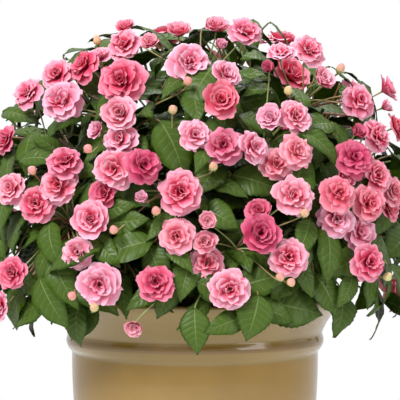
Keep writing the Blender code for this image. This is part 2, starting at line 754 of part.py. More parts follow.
def leaf_orders(draw):
    """Every leaf wanted: functions of inset giving its foot and tip, its width, and if it is fine."""
    orders = []
    for foot_across, foot_up, tip_across, tip_up, width in SEEN_LEAVES:
        foot_at = lambda d, a=foot_across, u=foot_up: in_sight(a, u, d + LEAF_FOOT_INSET)
        tip_at = lambda d, a=tip_across, u=tip_up, f=foot_at: level_with(f(d), in_sight(a, u, d))
        orders.append((foot_at, tip_at, width, True))
    for number, way in enumerate(spiral(RULE_LEAF_COUNT, RULE_LEAF_LOWEST, 0.4)):
        if way.y < RULE_LEAF_FRONT and number % 2:
            continue
        length = draw.uniform(*RULE_LEAF_LENGTHS)
        across = way.cross(UP).normalized()
        downhill = way.cross(across).normalized()
        if downhill.z > 0:
            downhill.negate()
        swing = math.radians(draw.uniform(-RULE_LEAF_SWING, RULE_LEAF_SWING))
        heading = downhill * math.cos(swing) + across * math.sin(swing)
        shift = heading * (length / 2 / DOME_DEPTH)
        deeper = INNER_LEAF_INSET if way.y < RULE_LEAF_FRONT else 0.0
        foot_at = lambda d, w=(way - shift).normalized(), e=deeper: on_skin(w, d + e + LEAF_FOOT_INSET)
        tip_at = lambda d, w=(way + shift).normalized(), e=deeper: on_skin(w, d + e)
        orders.append((foot_at, tip_at, length * draw.uniform(*RULE_LEAF_PROPORTIONS), False))
    return orders


def leaf_roots(stems):
    """The places inside the stems where a leaf's stalk may start, each with its stem's number."""
    roots = []
    for number, line in enumerate(stems):
        for k in range(3, len(line)):
            roots += [(line[k - 1].lerp(line[k], share), number) for share in LEAF_ROOT_SHARES]
    return roots


def place_leaves(stems, room):
    """Roots each leaf in a near stem, at the least depth and swing where it crosses nothing."""
    draw = random.Random(23)
    roots = leaf_roots(stems)
    leaves = []
    for foot_at, tip_at, width, fine in leaf_orders(draw):
        tilt = draw.uniform(0.0, 0.25)
        for inset, swing, slide in LEAF_TRIES:
            foot, tip, normal = leaf_pose(foot_at(inset), tip_at(inset), swing, slide, tilt)
            found = fitting_root(roots, room, foot, tip, normal, width, fine)
            if found:
                leaves.append((found[1], found[0], foot, tip, normal, width, fine))
                roots.remove(found)
                break
    return leaves


def leaf_pose(foot, tip, swing, slide, tilt):
    """A leaf's foot, tip and facing after it is lengthened, swung round its foot and slid back."""
    if (tip - foot).length < LEAF_SHORTEST:
        foot = tip + (foot - tip).normalized() * LEAF_SHORTEST
    normal = outward((foot + tip) / 2) + UP * tilt
    along = Quaternion(normal.normalized(), math.radians(swing)) @ (tip - foot)
    foot = foot - along.normalized() * slide
    tip = foot + along
    heading = along.normalized()
    return foot, tip, (normal - heading * normal.dot(heading)).normalized()


def fitting_root(roots, room, foot, tip, normal, width, fine):
    """The first near place on a stem from which this leaf crosses nothing."""
    heading = (tip - foot).normalized()
    behind = foot - heading * LEAF_STALK_BEHIND - normal * LEAF_STALK_BELOW
    near = sorted(roots, key=lambda spot: (spot[0] - behind).length)[:LEAF_ROOTS_TRIED]
    for root, number in near:
        stalk = foot - root
        reachable = LEAF_STALK_SHORTEST < stalk.length < LEAF_REACH and stalk.angle(heading) < LEAF_BEND
        if not reachable or tip.z < LEAF_LOWEST:
            continue
        start = root + stalk.normalized() * LEAF_STALK_START
        blade = (foot, tip, normal, width * LEAF_SWOLLEN, fine, SWOLLEN_THICKNESS)
        if room.clear(leaf(start, *blade)):
            room.add(leaf(root, *blade), "leaf")
            return root, number
    return None


def place_plant():
    """Every stem, flower and leaf: which shoot it belongs to and where it stands."""
    room = Room()
    tips = [on_skin(way, SHOOT_TIP_DEPTH) for way in spiral(SHOOT_COUNT, SHOOT_LOWEST, 0.0)]
    stems = place_stems(tips, room)
    flowers = place_flowers([spike_line(line) for line in stems], room)
    leaves = place_leaves(stems, room)
    return stems, flowers, leaves


def material(name, colour, roughness, metallic=0.0):
    made = bpy.data.materials.new(name)
    made.use_nodes = True
    shader = made.node_tree.nodes["Principled BSDF"]
    shader.inputs["Base Color"].default_value = (*colour, 1)
    shader.inputs["Roughness"].default_value = roughness
    shader.inputs["Metallic"].default_value = metallic
    return made


def new_object(name, mesh, collection, finish=None):
    made = bpy.data.objects.new(name, mesh)
    collection.objects.link(made)
    if finish:
        mesh.materials.clear()
        mesh.materials.append(finish)
    return made


def new_shape(name, shape, collection):
    mesh = bpy.data.meshes.new(name)
    mesh.from_pydata([tuple(point) for point in shape[0]], [], shape[1])
    return new_object(name, mesh, collection)


def turned_solid(name, profile, collection, finish):
    """A profile of radius and height, turned round the vertical axis with a Screw modifier."""
    mesh = bpy.data.meshes.new(name)
    edges = [(k, k + 1) for k in range(len(profile) - 1)]
    mesh.from_pydata([(radius, 0, height) for radius, height in profile], edges, [])
    made = new_object(name, mesh, collection, finish)
    screw = made.modifiers.new("Turn", "SCREW")
    screw.steps = POT_STEPS
    screw.render_steps = POT_STEPS
    screw.use_merge_vertices = True
    screw.merge_threshold = 0.0001
    return made


def body_radius(height):
    """The pot's outer radius below its roll: a curve that swells from the foot to the body's top."""
    share = min(1, height / BODY_TOP) ** BODY_SWELL
    return FOOT_RADIUS + (BODY_RADIUS - FOOT_RADIUS) * math.sin(share * math.pi / 2)


def pot_hollow():
    """The inside of the pot from the middle of its floor up to the lip, as radius and height."""
    heights = [BODY_TOP * k / INNER_RINGS for k in range(1, INNER_RINGS + 1)]
    wall = [(body_radius(height) - WALL, height) for height in heights]
    return [(0, FLOOR), (wall[0][0] - WALL, FLOOR), *wall, *INNER_COLLAR_RINGS[::-1]]


def make_pot(collection):
    glaze = material("olive_glaze", (0.32, 0.23, 0.09), 0.12)
    heights = [BODY_TOP * k / BODY_RINGS for k in range(BODY_RINGS + 1)]
    outside = [(body_radius(height), height) for height in heights] + list(COLLAR_RINGS)
    profile = pot_hollow() + list(LIP_RINGS)[::-1] + outside[::-1] + [(0, 0)]
    return turned_solid("pot", profile, collection, glaze)


def soil_profile():
    """The soil's outline: the pot's hollow drawn in by the gap, up to the soil's top."""
    hollow = pot_hollow()
    below, above = hollow[-2], hollow[-1]
    share = (SOIL_TOP - below[1]) / (above[1] - below[1])
    edge = below[0] + (above[0] - below[0]) * share
    wall = [hollow[1], hollow[2], hollow[-3], below]
    outline = [(0, FLOOR), *wall, (edge, SOIL_TOP), (0, SOIL_TOP)]
    return [(max(0, radius - SOIL_GAP), max(height, FLOOR + SOIL_GAP)) for radius, height in outline][::-1]


def make_soil(stems, collection, cutters):
    """Potting soil that fills the pot, with a plain hole for each shoot."""
    earth = material("potting_soil", (0.035, 0.022, 0.014), 0.95)
    soil = turned_solid("soil", soil_profile(), collection, earth)
    radius = STEM_RADIUS / math.cos(math.pi / HOLE_SIDES) + HOLE_GAP
    depth = 2 * (HOLE_DEPTH + HOLE_GAP)
    drills = bmesh.new()
    for line in stems:
        drill = bmesh.ops.create_cone(
            drills, segments=HOLE_SIDES, cap_ends=True, radius1=radius, radius2=radius, depth=depth
        )
        bmesh.ops.translate(drills, verts=drill["verts"], vec=(line[0].x, line[0].y, SOIL_TOP))
    mesh = bpy.data.meshes.new("stem_holes")
    drills.to_mesh(mesh)
    drills.free()
    cutter = new_object("stem_holes", mesh, cutters)
    cutter.hide_render = True
    cutter.display_type = "WIRE"
    cut = soil.modifiers.new("Holes", "BOOLEAN")
    cut.operation = "DIFFERENCE"
    cut.object = cutter
    return soil


def section(name, sides, collection):
    """A small regular polygon that a curve is given as its cross-section."""
    outline = bpy.data.curves.new(name, "CURVE")
    outline.dimensions = "2D"
    spline = outline.splines.new("POLY")
    spline.points.add(sides - 1)
    for k, point in enumerate(spline.points):
        point.co = (math.cos(math.tau * k / sides), math.sin(math.tau * k / sides), 0, 1)
    spline.use_cyclic_u = True
    guide = new_object(name, outline, collection)
    guide.hide_render = True
    guide.display_type = "WIRE"
    return guide


def tube(name, line, radii, guide, collection):
    """A tapered tube: a curve swept with a polygon section, made a mesh with its caps welded on."""
    path = bpy.data.curves.new(name, "CURVE")
    path.dimensions = "3D"
    path.bevel_mode = "OBJECT"
    path.bevel_object = guide
    path.use_fill_caps = True
    spline = path.splines.new("POLY")
    spline.points.add(len(line) - 1)
    for point, place, radius in zip(spline.points, line, radii):
        point.co = (*place, 1)
        point.radius = radius
    rail = new_object(name + "_line", path, collection)
    graph = bpy.context.evaluated_depsgraph_get()
    mesh = bpy.data.meshes.new_from_object(rail.evaluated_get(graph))
    bpy.data.objects.remove(rail)
    weld = bmesh.new()
    weld.from_mesh(mesh)
    bmesh.ops.remove_doubles(weld, verts=weld.verts, dist=1e-6)
    bmesh.ops.recalc_face_normals(weld, faces=weld.faces)
    weld.to_mesh(mesh)
    weld.free()
    return new_object(name, mesh, collection)


def fuse(trunk, grafts, finish):
    """Joins everything in a collection to the trunk with one union, applies it and clears the collection."""
    join = trunk.modifiers.new("Join", "BOOLEAN")
    join.operation = "UNION"
    join.operand_type = "COLLECTION"
    join.collection = grafts
    graph = bpy.context.evaluated_depsgraph_get()
    fused = bpy.data.meshes.new_from_object(trunk.evaluated_get(graph))
    trunk.modifiers.clear()
    trunk.data = fused
    fused.materials.clear()
    fused.materials.append(finish)
    for other in list(grafts.objects):
        bpy.data.objects.remove(other)
    return trunk


def make_shoot(number, line, leaves, guide, collection, grafts):
    """A leafy shoot: its stem with every leaf that roots in it."""
    name = f"leafy_shoot_{number + 1:02d}"
    stem = tube(name, line, stem_radii(), guide, collection)
    for _, root, foot, tip, normal, width, fine in leaves:
        new_shape("leaf", leaf(root, foot, tip, normal, width, fine), grafts)
    age = number / SHOOT_COUNT
    green = (0.045 + 0.02 * age, 0.125 + 0.04 * age, 0.026 + 0.008 * age)
    return fuse(stem, grafts, material(name + "_green", green, 0.42))


def make_spray(number, spike, flowers, guide, collection, grafts):
    """A spray: a spike just off the shoot's tip, with each bloom and bud on a stalk that starts in it."""
    name = f"bloom_spray_{number + 1:02d}"
    spray = tube(name, spike, [SPIKE_RADIUS, SPIKE_END_RADIUS], guide, collection)
    for _, root, place, facing, width, _, seed in flowers:
        new_shape("flower", flower(root, place, facing, width, seed), grafts)
    depth = sum(tone for *_, tone, _ in flowers) / len(flowers)
    pink = (0.86 - 0.1 * depth, 0.42 - 0.32 * depth, 0.52 - 0.3 * depth)
    return fuse(spray, grafts, material(name + "_petals", pink, 0.55))


def main():
    for old in list(bpy.data.objects):
        bpy.data.objects.remove(old)
    plant = bpy.data.collections.new("busy_lizzie")
    cutters = bpy.data.collections.new("cutters_and_guides")
    grafts = bpy.data.collections.new("grafts")
    for collection in (plant, cutters, grafts):
        bpy.context.scene.collection.children.link(collection)

    stems, flowers, leaves = place_plant()
    make_pot(plant)
    make_soil(stems, plant, cutters)
    stem_guide = section("stem_section", STEM_SIDES, cutters)
    for number, line in enumerate(stems):
        own_leaves = [one for one in leaves if one[0] == number]
        own_flowers = [one for one in flowers if one[0] == number]
        make_shoot(number, line, own_leaves, stem_guide, plant, grafts)
        if own_flowers:
            make_spray(number, spike_line(line), own_flowers, stem_guide, plant, grafts)
    print(len(flowers), "blooms and buds,", len(leaves), "leaves")


main()
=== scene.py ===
"""A busy lizzie with double pink blooms in a glazed pot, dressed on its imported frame.

Metres, +Z up, the pot's axis on Z, and the photograph's viewer towards -Y.
"""

import math
import random
import bpy
import numpy as np
from bpy.props import FloatProperty, FloatVectorProperty, IntProperty, PointerProperty
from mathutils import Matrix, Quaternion, Vector
from mathutils.bvhtree import BVHTree


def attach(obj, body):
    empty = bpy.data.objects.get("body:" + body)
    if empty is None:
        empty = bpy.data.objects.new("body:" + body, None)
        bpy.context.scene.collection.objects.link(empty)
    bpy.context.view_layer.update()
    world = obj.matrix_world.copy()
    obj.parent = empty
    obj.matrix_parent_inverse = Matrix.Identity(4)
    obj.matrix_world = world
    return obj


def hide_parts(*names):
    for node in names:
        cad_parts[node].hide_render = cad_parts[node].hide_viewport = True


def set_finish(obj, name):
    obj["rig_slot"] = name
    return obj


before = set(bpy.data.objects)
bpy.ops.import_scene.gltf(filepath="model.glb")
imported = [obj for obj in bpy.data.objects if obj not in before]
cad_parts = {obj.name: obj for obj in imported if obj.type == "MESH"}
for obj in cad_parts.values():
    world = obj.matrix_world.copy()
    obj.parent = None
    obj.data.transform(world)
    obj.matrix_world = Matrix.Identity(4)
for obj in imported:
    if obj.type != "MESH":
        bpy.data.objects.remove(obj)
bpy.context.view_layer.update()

bl_info = {
    "name": "Potted busy lizzie",
    "version": (1, 0, 0),
    "blender": (4, 5, 0),
    "location": "View3D > Sidebar > Busy lizzie",
    "description": "Builds the blooms, leaves, stems, soil and glazed pot of a busy lizzie round its frame",
    "category": "Object",
}

MM = 0.001


# Shapes as arrays


def unit(vectors):
    """The vectors along the last axis, each divided by its length."""
    return vectors / np.maximum(np.linalg.norm(vectors, axis=-1, keepdims=True), 1e-12)


def heading(azimuth, elevation):
    """The unit vector (cos e cos a, cos e sin a, sin e) of angles in degrees."""
    a, e = np.radians(azimuth), np.radians(elevation)
    return np.stack([np.cos(e) * np.cos(a), np.cos(e) * np.sin(a), np.sin(e)], axis=-1)


def smooth_noise(points, size, seed, octaves=4):
    """A sum of sines along random directions: each octave halves the wave's length and its height."""
    draw = np.random.default_rng(seed)
    total = np.zeros(points.shape[:-1])
    for octave in range(octaves):
        for _ in range(4):
            way = unit(draw.normal(size=3)) * math.tau / size * 2**octave
            total += np.sin(points @ way + draw.uniform(0, math.tau)) / 2**octave / 4
    return total


def curve_through(points, steps):
    """Catmull-Rom curves: (lines, points, 3) in, with steps places a span, and the ends kept."""
    before, after = 2 * points[:, :1] - points[:, 1:2], 2 * points[:, -1:] - points[:, -2:-1]
    padded = np.concatenate([before, points, after], axis=1)
    t = (np.arange(steps) / steps)[None, None, :, None]
    a, b, c, d = (padded[:, k : padded.shape[1] - 3 + k, None, :] for k in range(4))
    spans = b + 0.5 * t * (c - a + t * (2 * a - 5 * b + 4 * c - d + t * (3 * (b - c) + d - a)))
    return np.concatenate([spans.reshape(len(points), -1, 3), points[:, -1:]], 1)


def bezier(a, b, c, d, steps):
    """Cubic curves of (lines, 3) end and control points, at steps + 1 places."""
    t = np.linspace(0, 1, steps + 1)[None, :, None]
    a, b, c, d = (point[:, None, :] for point in (a, b, c, d))
    return (1 - t) ** 3 * a + 3 * t * (1 - t) ** 2 * b + 3 * t * t * (1 - t) * c + t**3 * d


def quads(index):
    """Four-cornered faces between neighbours of a table of vertex numbers."""
    corners = (index[:-1, :-1], index[:-1, 1:], index[1:, 1:], index[1:, :-1])
    return np.stack(corners, axis=-1).reshape(-1, 4)


def repeated(faces, count, step):
    """The same faces for each of count shapes whose vertices follow each other, step apart."""
    return (faces[None] + (np.arange(count) * step)[:, None, None]).reshape(-1, faces.shape[1])


SHARPEST_FOLD = math.radians(75)


class Shape:
    """Vertices, faces of three or four corners, and named values at the vertices, gathered for one piece."""

    def __init__(self):
        self.points = []
        self.faces = []
        self.values = {}
        self.count = 0

    def add(self, points, faces, tint=0, **values):
        """Takes (n, 3) points, one or more tables of faces, which material they show, and (n, 3) values."""
        for table in faces if isinstance(faces, (list, tuple)) else [faces]:
            self.faces.append((table + self.count, tint))
        self.points.append(points.reshape(-1, 3))
        here = len(self.points[-1])
        for name in values:
            self.values.setdefault(name, []).append((self.count, values[name].reshape(-1, 3)))
        self.count += here

    def make(self, name, slot, materials, replaced=()):
        """Makes the object, at the origin, and lets it ride on the plant's one body."""
        mesh = bpy.data.meshes.new(name)
        mesh.vertices.add(self.count)
        mesh.vertices.foreach_set("co", np.concatenate(self.points).astype(np.float32).ravel())
        sizes = np.concatenate([np.full(len(table), table.shape[1]) for table, _ in self.faces])
        tints = np.concatenate([np.full(len(table), tint) for table, tint in self.faces])
        corners = np.concatenate([table.ravel() for table, _ in self.faces])
        mesh.loops.add(len(corners))
        mesh.loops.foreach_set("vertex_index", corners.astype(np.int32))
        mesh.polygons.add(len(sizes))
        mesh.polygons.foreach_set("loop_start", np.concatenate([[0], np.cumsum(sizes)[:-1]]).astype(np.int32))
        mesh.polygons.foreach_set("material_index", tints.astype(np.int32))
        mesh.polygons.foreach_set("use_smooth", np.ones(len(sizes), bool))
        for label, parts in self.values.items():
            table = np.zeros((self.count, 3), np.float32)
            for start, rows in parts:
                table[start : start + len(rows)] = rows
            mesh.attributes.new(label, "FLOAT_VECTOR", "POINT").data.foreach_set("vector", table.ravel())
        for made in materials:
            mesh.materials.append(made)
        mesh.update()
        mesh.validate()
        mesh.set_sharp_from_angle(angle=SHARPEST_FOLD)
        piece = bpy.data.objects.new(name, mesh)
        bpy.context.scene.collection.objects.link(piece)
        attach(piece, "root")
        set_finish(piece, slot)
        if replaced:
            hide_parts(*replaced)
        return piece


def thin_shells(shape, grid, thickness, tint=0, **values):
    """Adds sheets as thin closed lenses: grid is (sheets, along, across, 3), the second face lies thickness
    under the first, and the two meet all round the edge. Values get the side, 1 underneath, in 'under'."""
    count, rows, columns = grid.shape[:3]
    normal = unit(np.cross(np.gradient(grid, axis=2), np.gradient(grid, axis=1)))
    inner = np.zeros((rows, columns), bool)
    inner[1:-1, 1:-1] = True
    front = np.arange(rows * columns).reshape(rows, columns)
    back = front.copy()
    back[inner] = rows * columns + np.arange(inner.sum())
    both = np.concatenate([grid.reshape(count, -1, 3), (grid - normal * thickness)[:, inner]], axis=1)
    faces = repeated(np.concatenate([quads(front), quads(back)[:, ::-1]]), count, both.shape[1])
    spread = {
        name: np.concatenate([table.reshape(count, -1, 3), table[:, inner]], axis=1)
        for name, table in values.items()
    }
    under = np.zeros_like(both)
    under[:, rows * columns :] = 1
    shape.add(both, faces, tint, under=under, **spread)


def ring_faces(rings, sides):
    """A tube's faces, where its rings' points are followed by a point at each end: its walls and two fans."""
    index = np.arange(rings * sides).reshape(rings, sides)
    walls = quads(np.concatenate([index, index[:, :1]], axis=1))
    first = np.stack([np.roll(index[0], -1), index[0], np.full(sides, rings * sides)], axis=-1)
    last = np.stack([index[-1], np.roll(index[-1], -1), np.full(sides, rings * sides + 1)], axis=-1)
    return [walls, first, last]


def tubes(shape, lines, radii, sides, tint=0, **values):
    """Adds closed tubes with pointed ends: circles of radii (tubes, rings) across lines (tubes, rings, 3).
    The circles start at the normal of the plane in which a line bends, so they don't twist."""
    count, rings = lines.shape[:2]
    along = unit(np.gradient(lines, axis=1))
    bend = np.cross(along[:, 0], along[:, -1])
    spare = np.cross(along[:, 0], np.where(np.abs(along[:, :1, 2]) < 0.9, [[0.0, 0, 1]], [[1.0, 0, 0]]))
    straight = np.linalg.norm(bend, axis=-1, keepdims=True) < 0.05
    plane = unit(np.where(straight, spare, bend))[:, None, :]
    over = unit(np.cross(along, plane))
    side = np.cross(over, along)
    angle = np.arange(sides) * math.tau / sides
    ring = side[:, :, None] * np.cos(angle)[:, None] + over[:, :, None] * np.sin(angle)[:, None]
    body = lines[:, :, None] + ring * radii[:, :, None, None]
    points = np.concatenate([body.reshape(count, -1, 3), lines[:, :1], lines[:, -1:]], axis=1)
    spread = {
        name: np.concatenate([np.repeat(table, sides, axis=1), table[:, :1], table[:, -1:]], axis=1)
        for name, table in values.items()
    }
    faces = [repeated(table, count, points.shape[1]) for table in ring_faces(rings, sides)]
    shape.add(points, faces, tint, **spread)


def turned_shape(shape, profile, segments, lumps=None, tint=0, **values):
    """Adds a body turned round the Z axis: profile is (radius, height) from the middle of its base, round the
    outside and back to the axis. Lumps shifts the finished grid (rings, segments, 3)."""
    angle = np.arange(segments) * math.tau / segments
    radius, height = profile[1:-1, 0], profile[1:-1, 1]
    out = radius[:, None]
    grid = np.stack([out * np.cos(angle), out * np.sin(angle), np.repeat(height[:, None], segments, 1)], -1)
    ends = np.array([[0, 0, profile[0, 1]], [0, 0, profile[-1, 1]]])
    if lumps is not None:
        grid, ends = lumps(grid), lumps(ends)
    points = np.concatenate([grid.reshape(-1, 3), ends])
    shape.add(points, ring_faces(len(radius), segments), tint, **values)


# Materials


class Nodes:
    """Short ways to add nodes to one tree and join them."""

    def __init__(self, tree):
        self.tree = tree

    def add(self, kind, outlet=0, settings=(), **inputs):
        """Adds a node, sets its options and inputs, and gives its outlet. Inputs are values or outlets."""
        node = self.tree.nodes.new(kind)
        for key, value in dict(settings).items():
            setattr(node, key, value)
        self.fill(node, inputs)
        return node.outputs[outlet]

    def fill(self, node, inputs):
        """Sets or joins a node's inputs, which are called i and a number, or by their labels."""
        for key, value in inputs.items():
            socket = node.inputs[int(key[1:]) if key[1:].isdigit() else key.replace("_", " ")]
            if isinstance(value, bpy.types.NodeSocket):
                self.tree.links.new(value, socket)
            else:
                socket.default_value = value

    def maths(self, operation, a, b=0.0):
        return self.add("ShaderNodeMath", settings={"operation": operation}, i0=a, i1=b)

    def times(self, a, b):
        return self.maths("MULTIPLY", a, b)

    def plus(self, a, b):
        return self.maths("ADD", a, b)

    def less(self, a, b):
        return self.maths("SUBTRACT", a, b)

    def feed(self, shader, socket, outlet):
        self.tree.links.new(outlet, shader.inputs[socket])

    def bump(self, shader, strength, distance, height):
        """Raises and lowers a shader's surface by a height, in metres at full strength."""
        raised = self.add("ShaderNodeBump", Strength=strength, Distance=distance, Height=height)
        self.feed(shader, "Normal", raised)

    def mix(self, share, a, b):
        """A colour between a and b."""
        return self.add("ShaderNodeMix", 2, {"data_type": "RGBA"}, i0=share, i6=a, i7=b)

    def rise(self, value, low, high, start=0.0, end=1.0):
        """A smooth step of a value from start at low to end at high."""
        settings = {"interpolation_type": "SMOOTHSTEP"}
        return self.add("ShaderNodeMapRange", 0, settings, i0=value, i1=low, i2=high, i3=start, i4=end)

    def noise(self, scale, detail=3.0, where=None):
        where = where or self.add("ShaderNodeTexCoord", "Object")
        return self.add("ShaderNodeTexNoise", "Fac", Vector=where, Scale=scale, Detail=detail)

    def attribute(self, name):
        """The three values that a piece holds under a name."""
        read = self.add("ShaderNodeAttribute", "Vector", {"attribute_name": name})
        node = self.tree.nodes.new("ShaderNodeSeparateXYZ")
        self.tree.links.new(read, node.inputs[0])
        return node.outputs

    def group(self, tree, **inputs):
        node = self.tree.nodes.new("ShaderNodeGroup")
        node.node_tree = tree
        self.fill(node, inputs)
        return node.outputs


def new_group(name, inputs, outputs):
    """An empty shader node group with number sockets, and the Nodes that fill it."""
    tree = bpy.data.node_groups.new(name, "ShaderNodeTree")
    for label, value in inputs.items():
        tree.interface.new_socket(label, in_out="INPUT", socket_type="NodeSocketFloat").default_value = value
    for label in outputs:
        tree.interface.new_socket(label, in_out="OUTPUT", socket_type="NodeSocketFloat")
    given, result = tree.nodes.new("NodeGroupInput"), tree.nodes.new("NodeGroupOutput")
    return tree, Nodes(tree), given.outputs, result.inputs


def veins_group():
    """Midrib and side veins of a blade: the midrib is where Side is near 0, and the side veins lie where
    Run less a share of |Side| passes a whole number of steps."""
    inputs = {"Side": 0, "Run": 0, "Pairs": 7, "Sweep": 0.2}
    tree, make, given, out = new_group("Leaf veins", inputs, ["Veins", "Swell"])
    away = make.maths("ABSOLUTE", given["Side"])
    thin = make.rise(given["Run"], 0.0, 1.0, 0.085, 0.03)
    midrib = make.rise(away, thin, 0.0)
    swept = make.less(given["Run"], make.times(away, given["Sweep"]))
    phase = make.maths("PINGPONG", make.times(swept, given["Pairs"]), 0.5)
    line = make.rise(phase, 0.06, 0.0)
    faded = make.times(line, make.rise(away, 1.0, 0.55, 0.15, 0.7))
    tree.links.new(make.maths("MAXIMUM", midrib, faded), out["Veins"])
    tree.links.new(make.rise(phase, 0.0, 0.4), out["Swell"])
    return tree


def mottle_group():
    """Soft cloudy change over a surface, from two sizes of noise in Object coordinates."""
    tree, make, given, out = new_group("Mottle", {"Large": 30, "Fine": 400, "Share": 0.35}, ["Mottle"])
    large = make.noise(given["Large"], 2.0)
    fine = make.noise(given["Fine"], 3.0)
    mixed = make.add("ShaderNodeMix", 0, i0=given["Share"], i2=large, i3=fine)
    tree.links.new(make.rise(mixed, 0.3, 0.7), out["Mottle"])
    return tree


GROUPS = {}


def effect(maker):
    """A node group, built the first time that a material asks for it."""
    if maker.__name__ not in GROUPS:
        GROUPS[maker.__name__] = maker()
    return GROUPS[maker.__name__]


def new_material(name, **shine):
    """A material with one Principled shader, and the Nodes that fill it."""
    made = bpy.data.materials.new(name)
    made.use_nodes = True
    shader = made.node_tree.nodes["Principled BSDF"]
    for key, value in shine.items():
        shader.inputs[key.replace("_", " ")].default_value = value
    return made, Nodes(made.node_tree), shader


def let_light_through(make, shader, share, colour):
    """Mixes a thin sheet's shader with light that comes from behind it."""
    glow = make.add("ShaderNodeBsdfTranslucent", Color=colour)
    mixed = make.add("ShaderNodeMixShader", i0=share, i1=shader.outputs[0], i2=glow)
    make.tree.links.new(mixed, make.tree.nodes["Material Output"].inputs["Surface"])


def colour(value):
    return (*value, 1.0)


def leaf_material(name, dark, light, under):
    """Satin green: mottled between two greens, paler on its veins and underneath, swollen between them."""
    made, make, shader = new_material(name, Specular_IOR_Level=0.14)
    side, run, chance = make.attribute("blade")
    beneath = make.attribute("under")[0]
    veins, swell = make.group(effect(veins_group), Side=side, Run=run, Pairs=8.0, Sweep=0.16)
    mottle = make.group(effect(mottle_group), Large=22.0, Fine=260.0, Share=0.3)[0]
    fresh = make.rise(make.plus(make.times(chance, 0.75), make.times(mottle, 0.35)), 0.15, 0.95)
    green = make.mix(fresh, colour(dark), colour(light))
    veined = make.mix(make.times(veins, 0.28), green, (0.12, 0.21, 0.03, 1))
    face = make.mix(beneath, veined, make.mix(make.times(veins, 0.5), colour(under), (0.26, 0.34, 0.12, 1)))
    make.feed(shader, "Base Color", face)
    make.feed(shader, "Roughness", make.rise(mottle, 0.0, 1.0, 0.24, 0.38))
    grain = make.plus(make.times(swell, 0.8), make.times(make.noise(900.0), 0.25))
    height = make.less(grain, make.times(veins, 0.7))
    make.bump(shader, 0.38, 0.0006, height)
    let_light_through(make, shader, 0.16, make.mix(0.5, face, (0.20, 0.36, 0.03, 1)))
    return made


def petal_material(name, pale, rose, deep):
    """Soft pink: deep in deep blooms and, as painted shade, deeper on the inner whorls at the heart; pale to
    white at the margins, with fine streaks.
    """
    made, make, shader = new_material(name, Roughness=0.60, Specular_IOR_Level=0.16)
    run, side, layer = make.attribute("petal")
    tone, warmth, chance = make.attribute("bloom")
    beneath = make.attribute("under")[0]
    where = make.add("ShaderNodeCombineXYZ", i0=make.times(side, 9.0), i1=make.times(run, 1.4), i2=chance)
    streaks = make.noise(3.0, 4.0, where)
    mottle = make.group(effect(mottle_group), Large=60.0, Fine=500.0, Share=0.4)[0]
    # Painted shade: the layer term deepens the inner whorls' pink where the bloom's heart lies in shade; the
    # tone term is the bloom's own colour.
    depth = make.plus(make.times(tone, 0.80), make.times(layer, 0.42))
    depth = make.plus(depth, make.times(make.less(streaks, 0.5), 0.55))
    depth = make.plus(depth, make.times(make.less(mottle, 0.5), 0.16))
    depth = make.less(depth, make.rise(run, 0.15, 1.0, -0.22, 0.32))
    depth = make.less(depth, make.times(beneath, 0.14))
    first = make.mix(make.rise(depth, -0.05, 0.50), colour(pale), colour(rose))
    pink = make.mix(make.rise(depth, 0.45, 1.05), first, colour(deep))
    edge = make.times(make.rise(run, 0.72, 1.0), make.rise(tone, 1.0, 0.2, 0.30, 0.85))
    pink = make.mix(edge, pink, (0.98, 0.72, 0.84, 1))
    lilac = make.rise(warmth, 0.0, -1.0, 0.0, 0.45)
    pink = make.mix(lilac, pink, make.mix(tone, (0.84, 0.33, 0.48, 1), (0.58, 0.035, 0.17, 1)))
    coral = make.rise(warmth, 0.0, 1.0, 0.0, 0.38)
    pink = make.mix(coral, pink, make.mix(tone, (0.95, 0.38, 0.38, 1), (0.82, 0.06, 0.12, 1)))
    make.feed(shader, "Base Color", pink)
    make.bump(shader, 0.35, 0.0004, streaks)
    let_light_through(make, shader, 0.30, pink)
    return made


def stalk_material(name, green, flush):
    """Juicy stems: pale green with a rosy flush that comes and goes along them, and fine lengthwise grain."""
    made, make, shader = new_material(name, Roughness=0.38, Specular_IOR_Level=0.5, Subsurface_Weight=0.0)
    mottle = make.group(effect(mottle_group), Large=18.0, Fine=300.0, Share=0.25)[0]
    chance = make.attribute("stalk")[2]
    rosy = make.rise(make.plus(make.times(mottle, 0.6), make.times(chance, 0.6)), 0.35, 1.1)
    tint = make.mix(rosy, colour(green), colour(flush))
    make.feed(shader, "Base Color", tint)
    make.bump(shader, 0.3, 0.0003, make.noise(700.0))
    return made


def bud_material(name):
    """Buds: cream green at the foot, blushing to pink at the tip, with darker seams between the petals."""
    made, make, shader = new_material(name, Roughness=0.26, Specular_IOR_Level=0.5)
    run, side, chance = make.attribute("bud")
    blush = make.rise(make.plus(run, make.times(chance, 0.9)), 0.60, 1.55)
    seams = make.rise(make.maths("PINGPONG", make.plus(side, make.times(run, 0.35)), 0.1667), 0.035, 0.0)
    tint = make.mix(blush, (0.52, 0.52, 0.17, 1), (0.85, 0.24, 0.28, 1))
    tint = make.mix(make.times(seams, 0.8), tint, (0.60, 0.13, 0.14, 1))
    tint = make.mix(make.times(make.noise(240.0), 0.35), tint, (0.80, 0.68, 0.40, 1))
    make.feed(shader, "Base Color", tint)
    make.bump(shader, 0.4, 0.0004, seams)
    return made


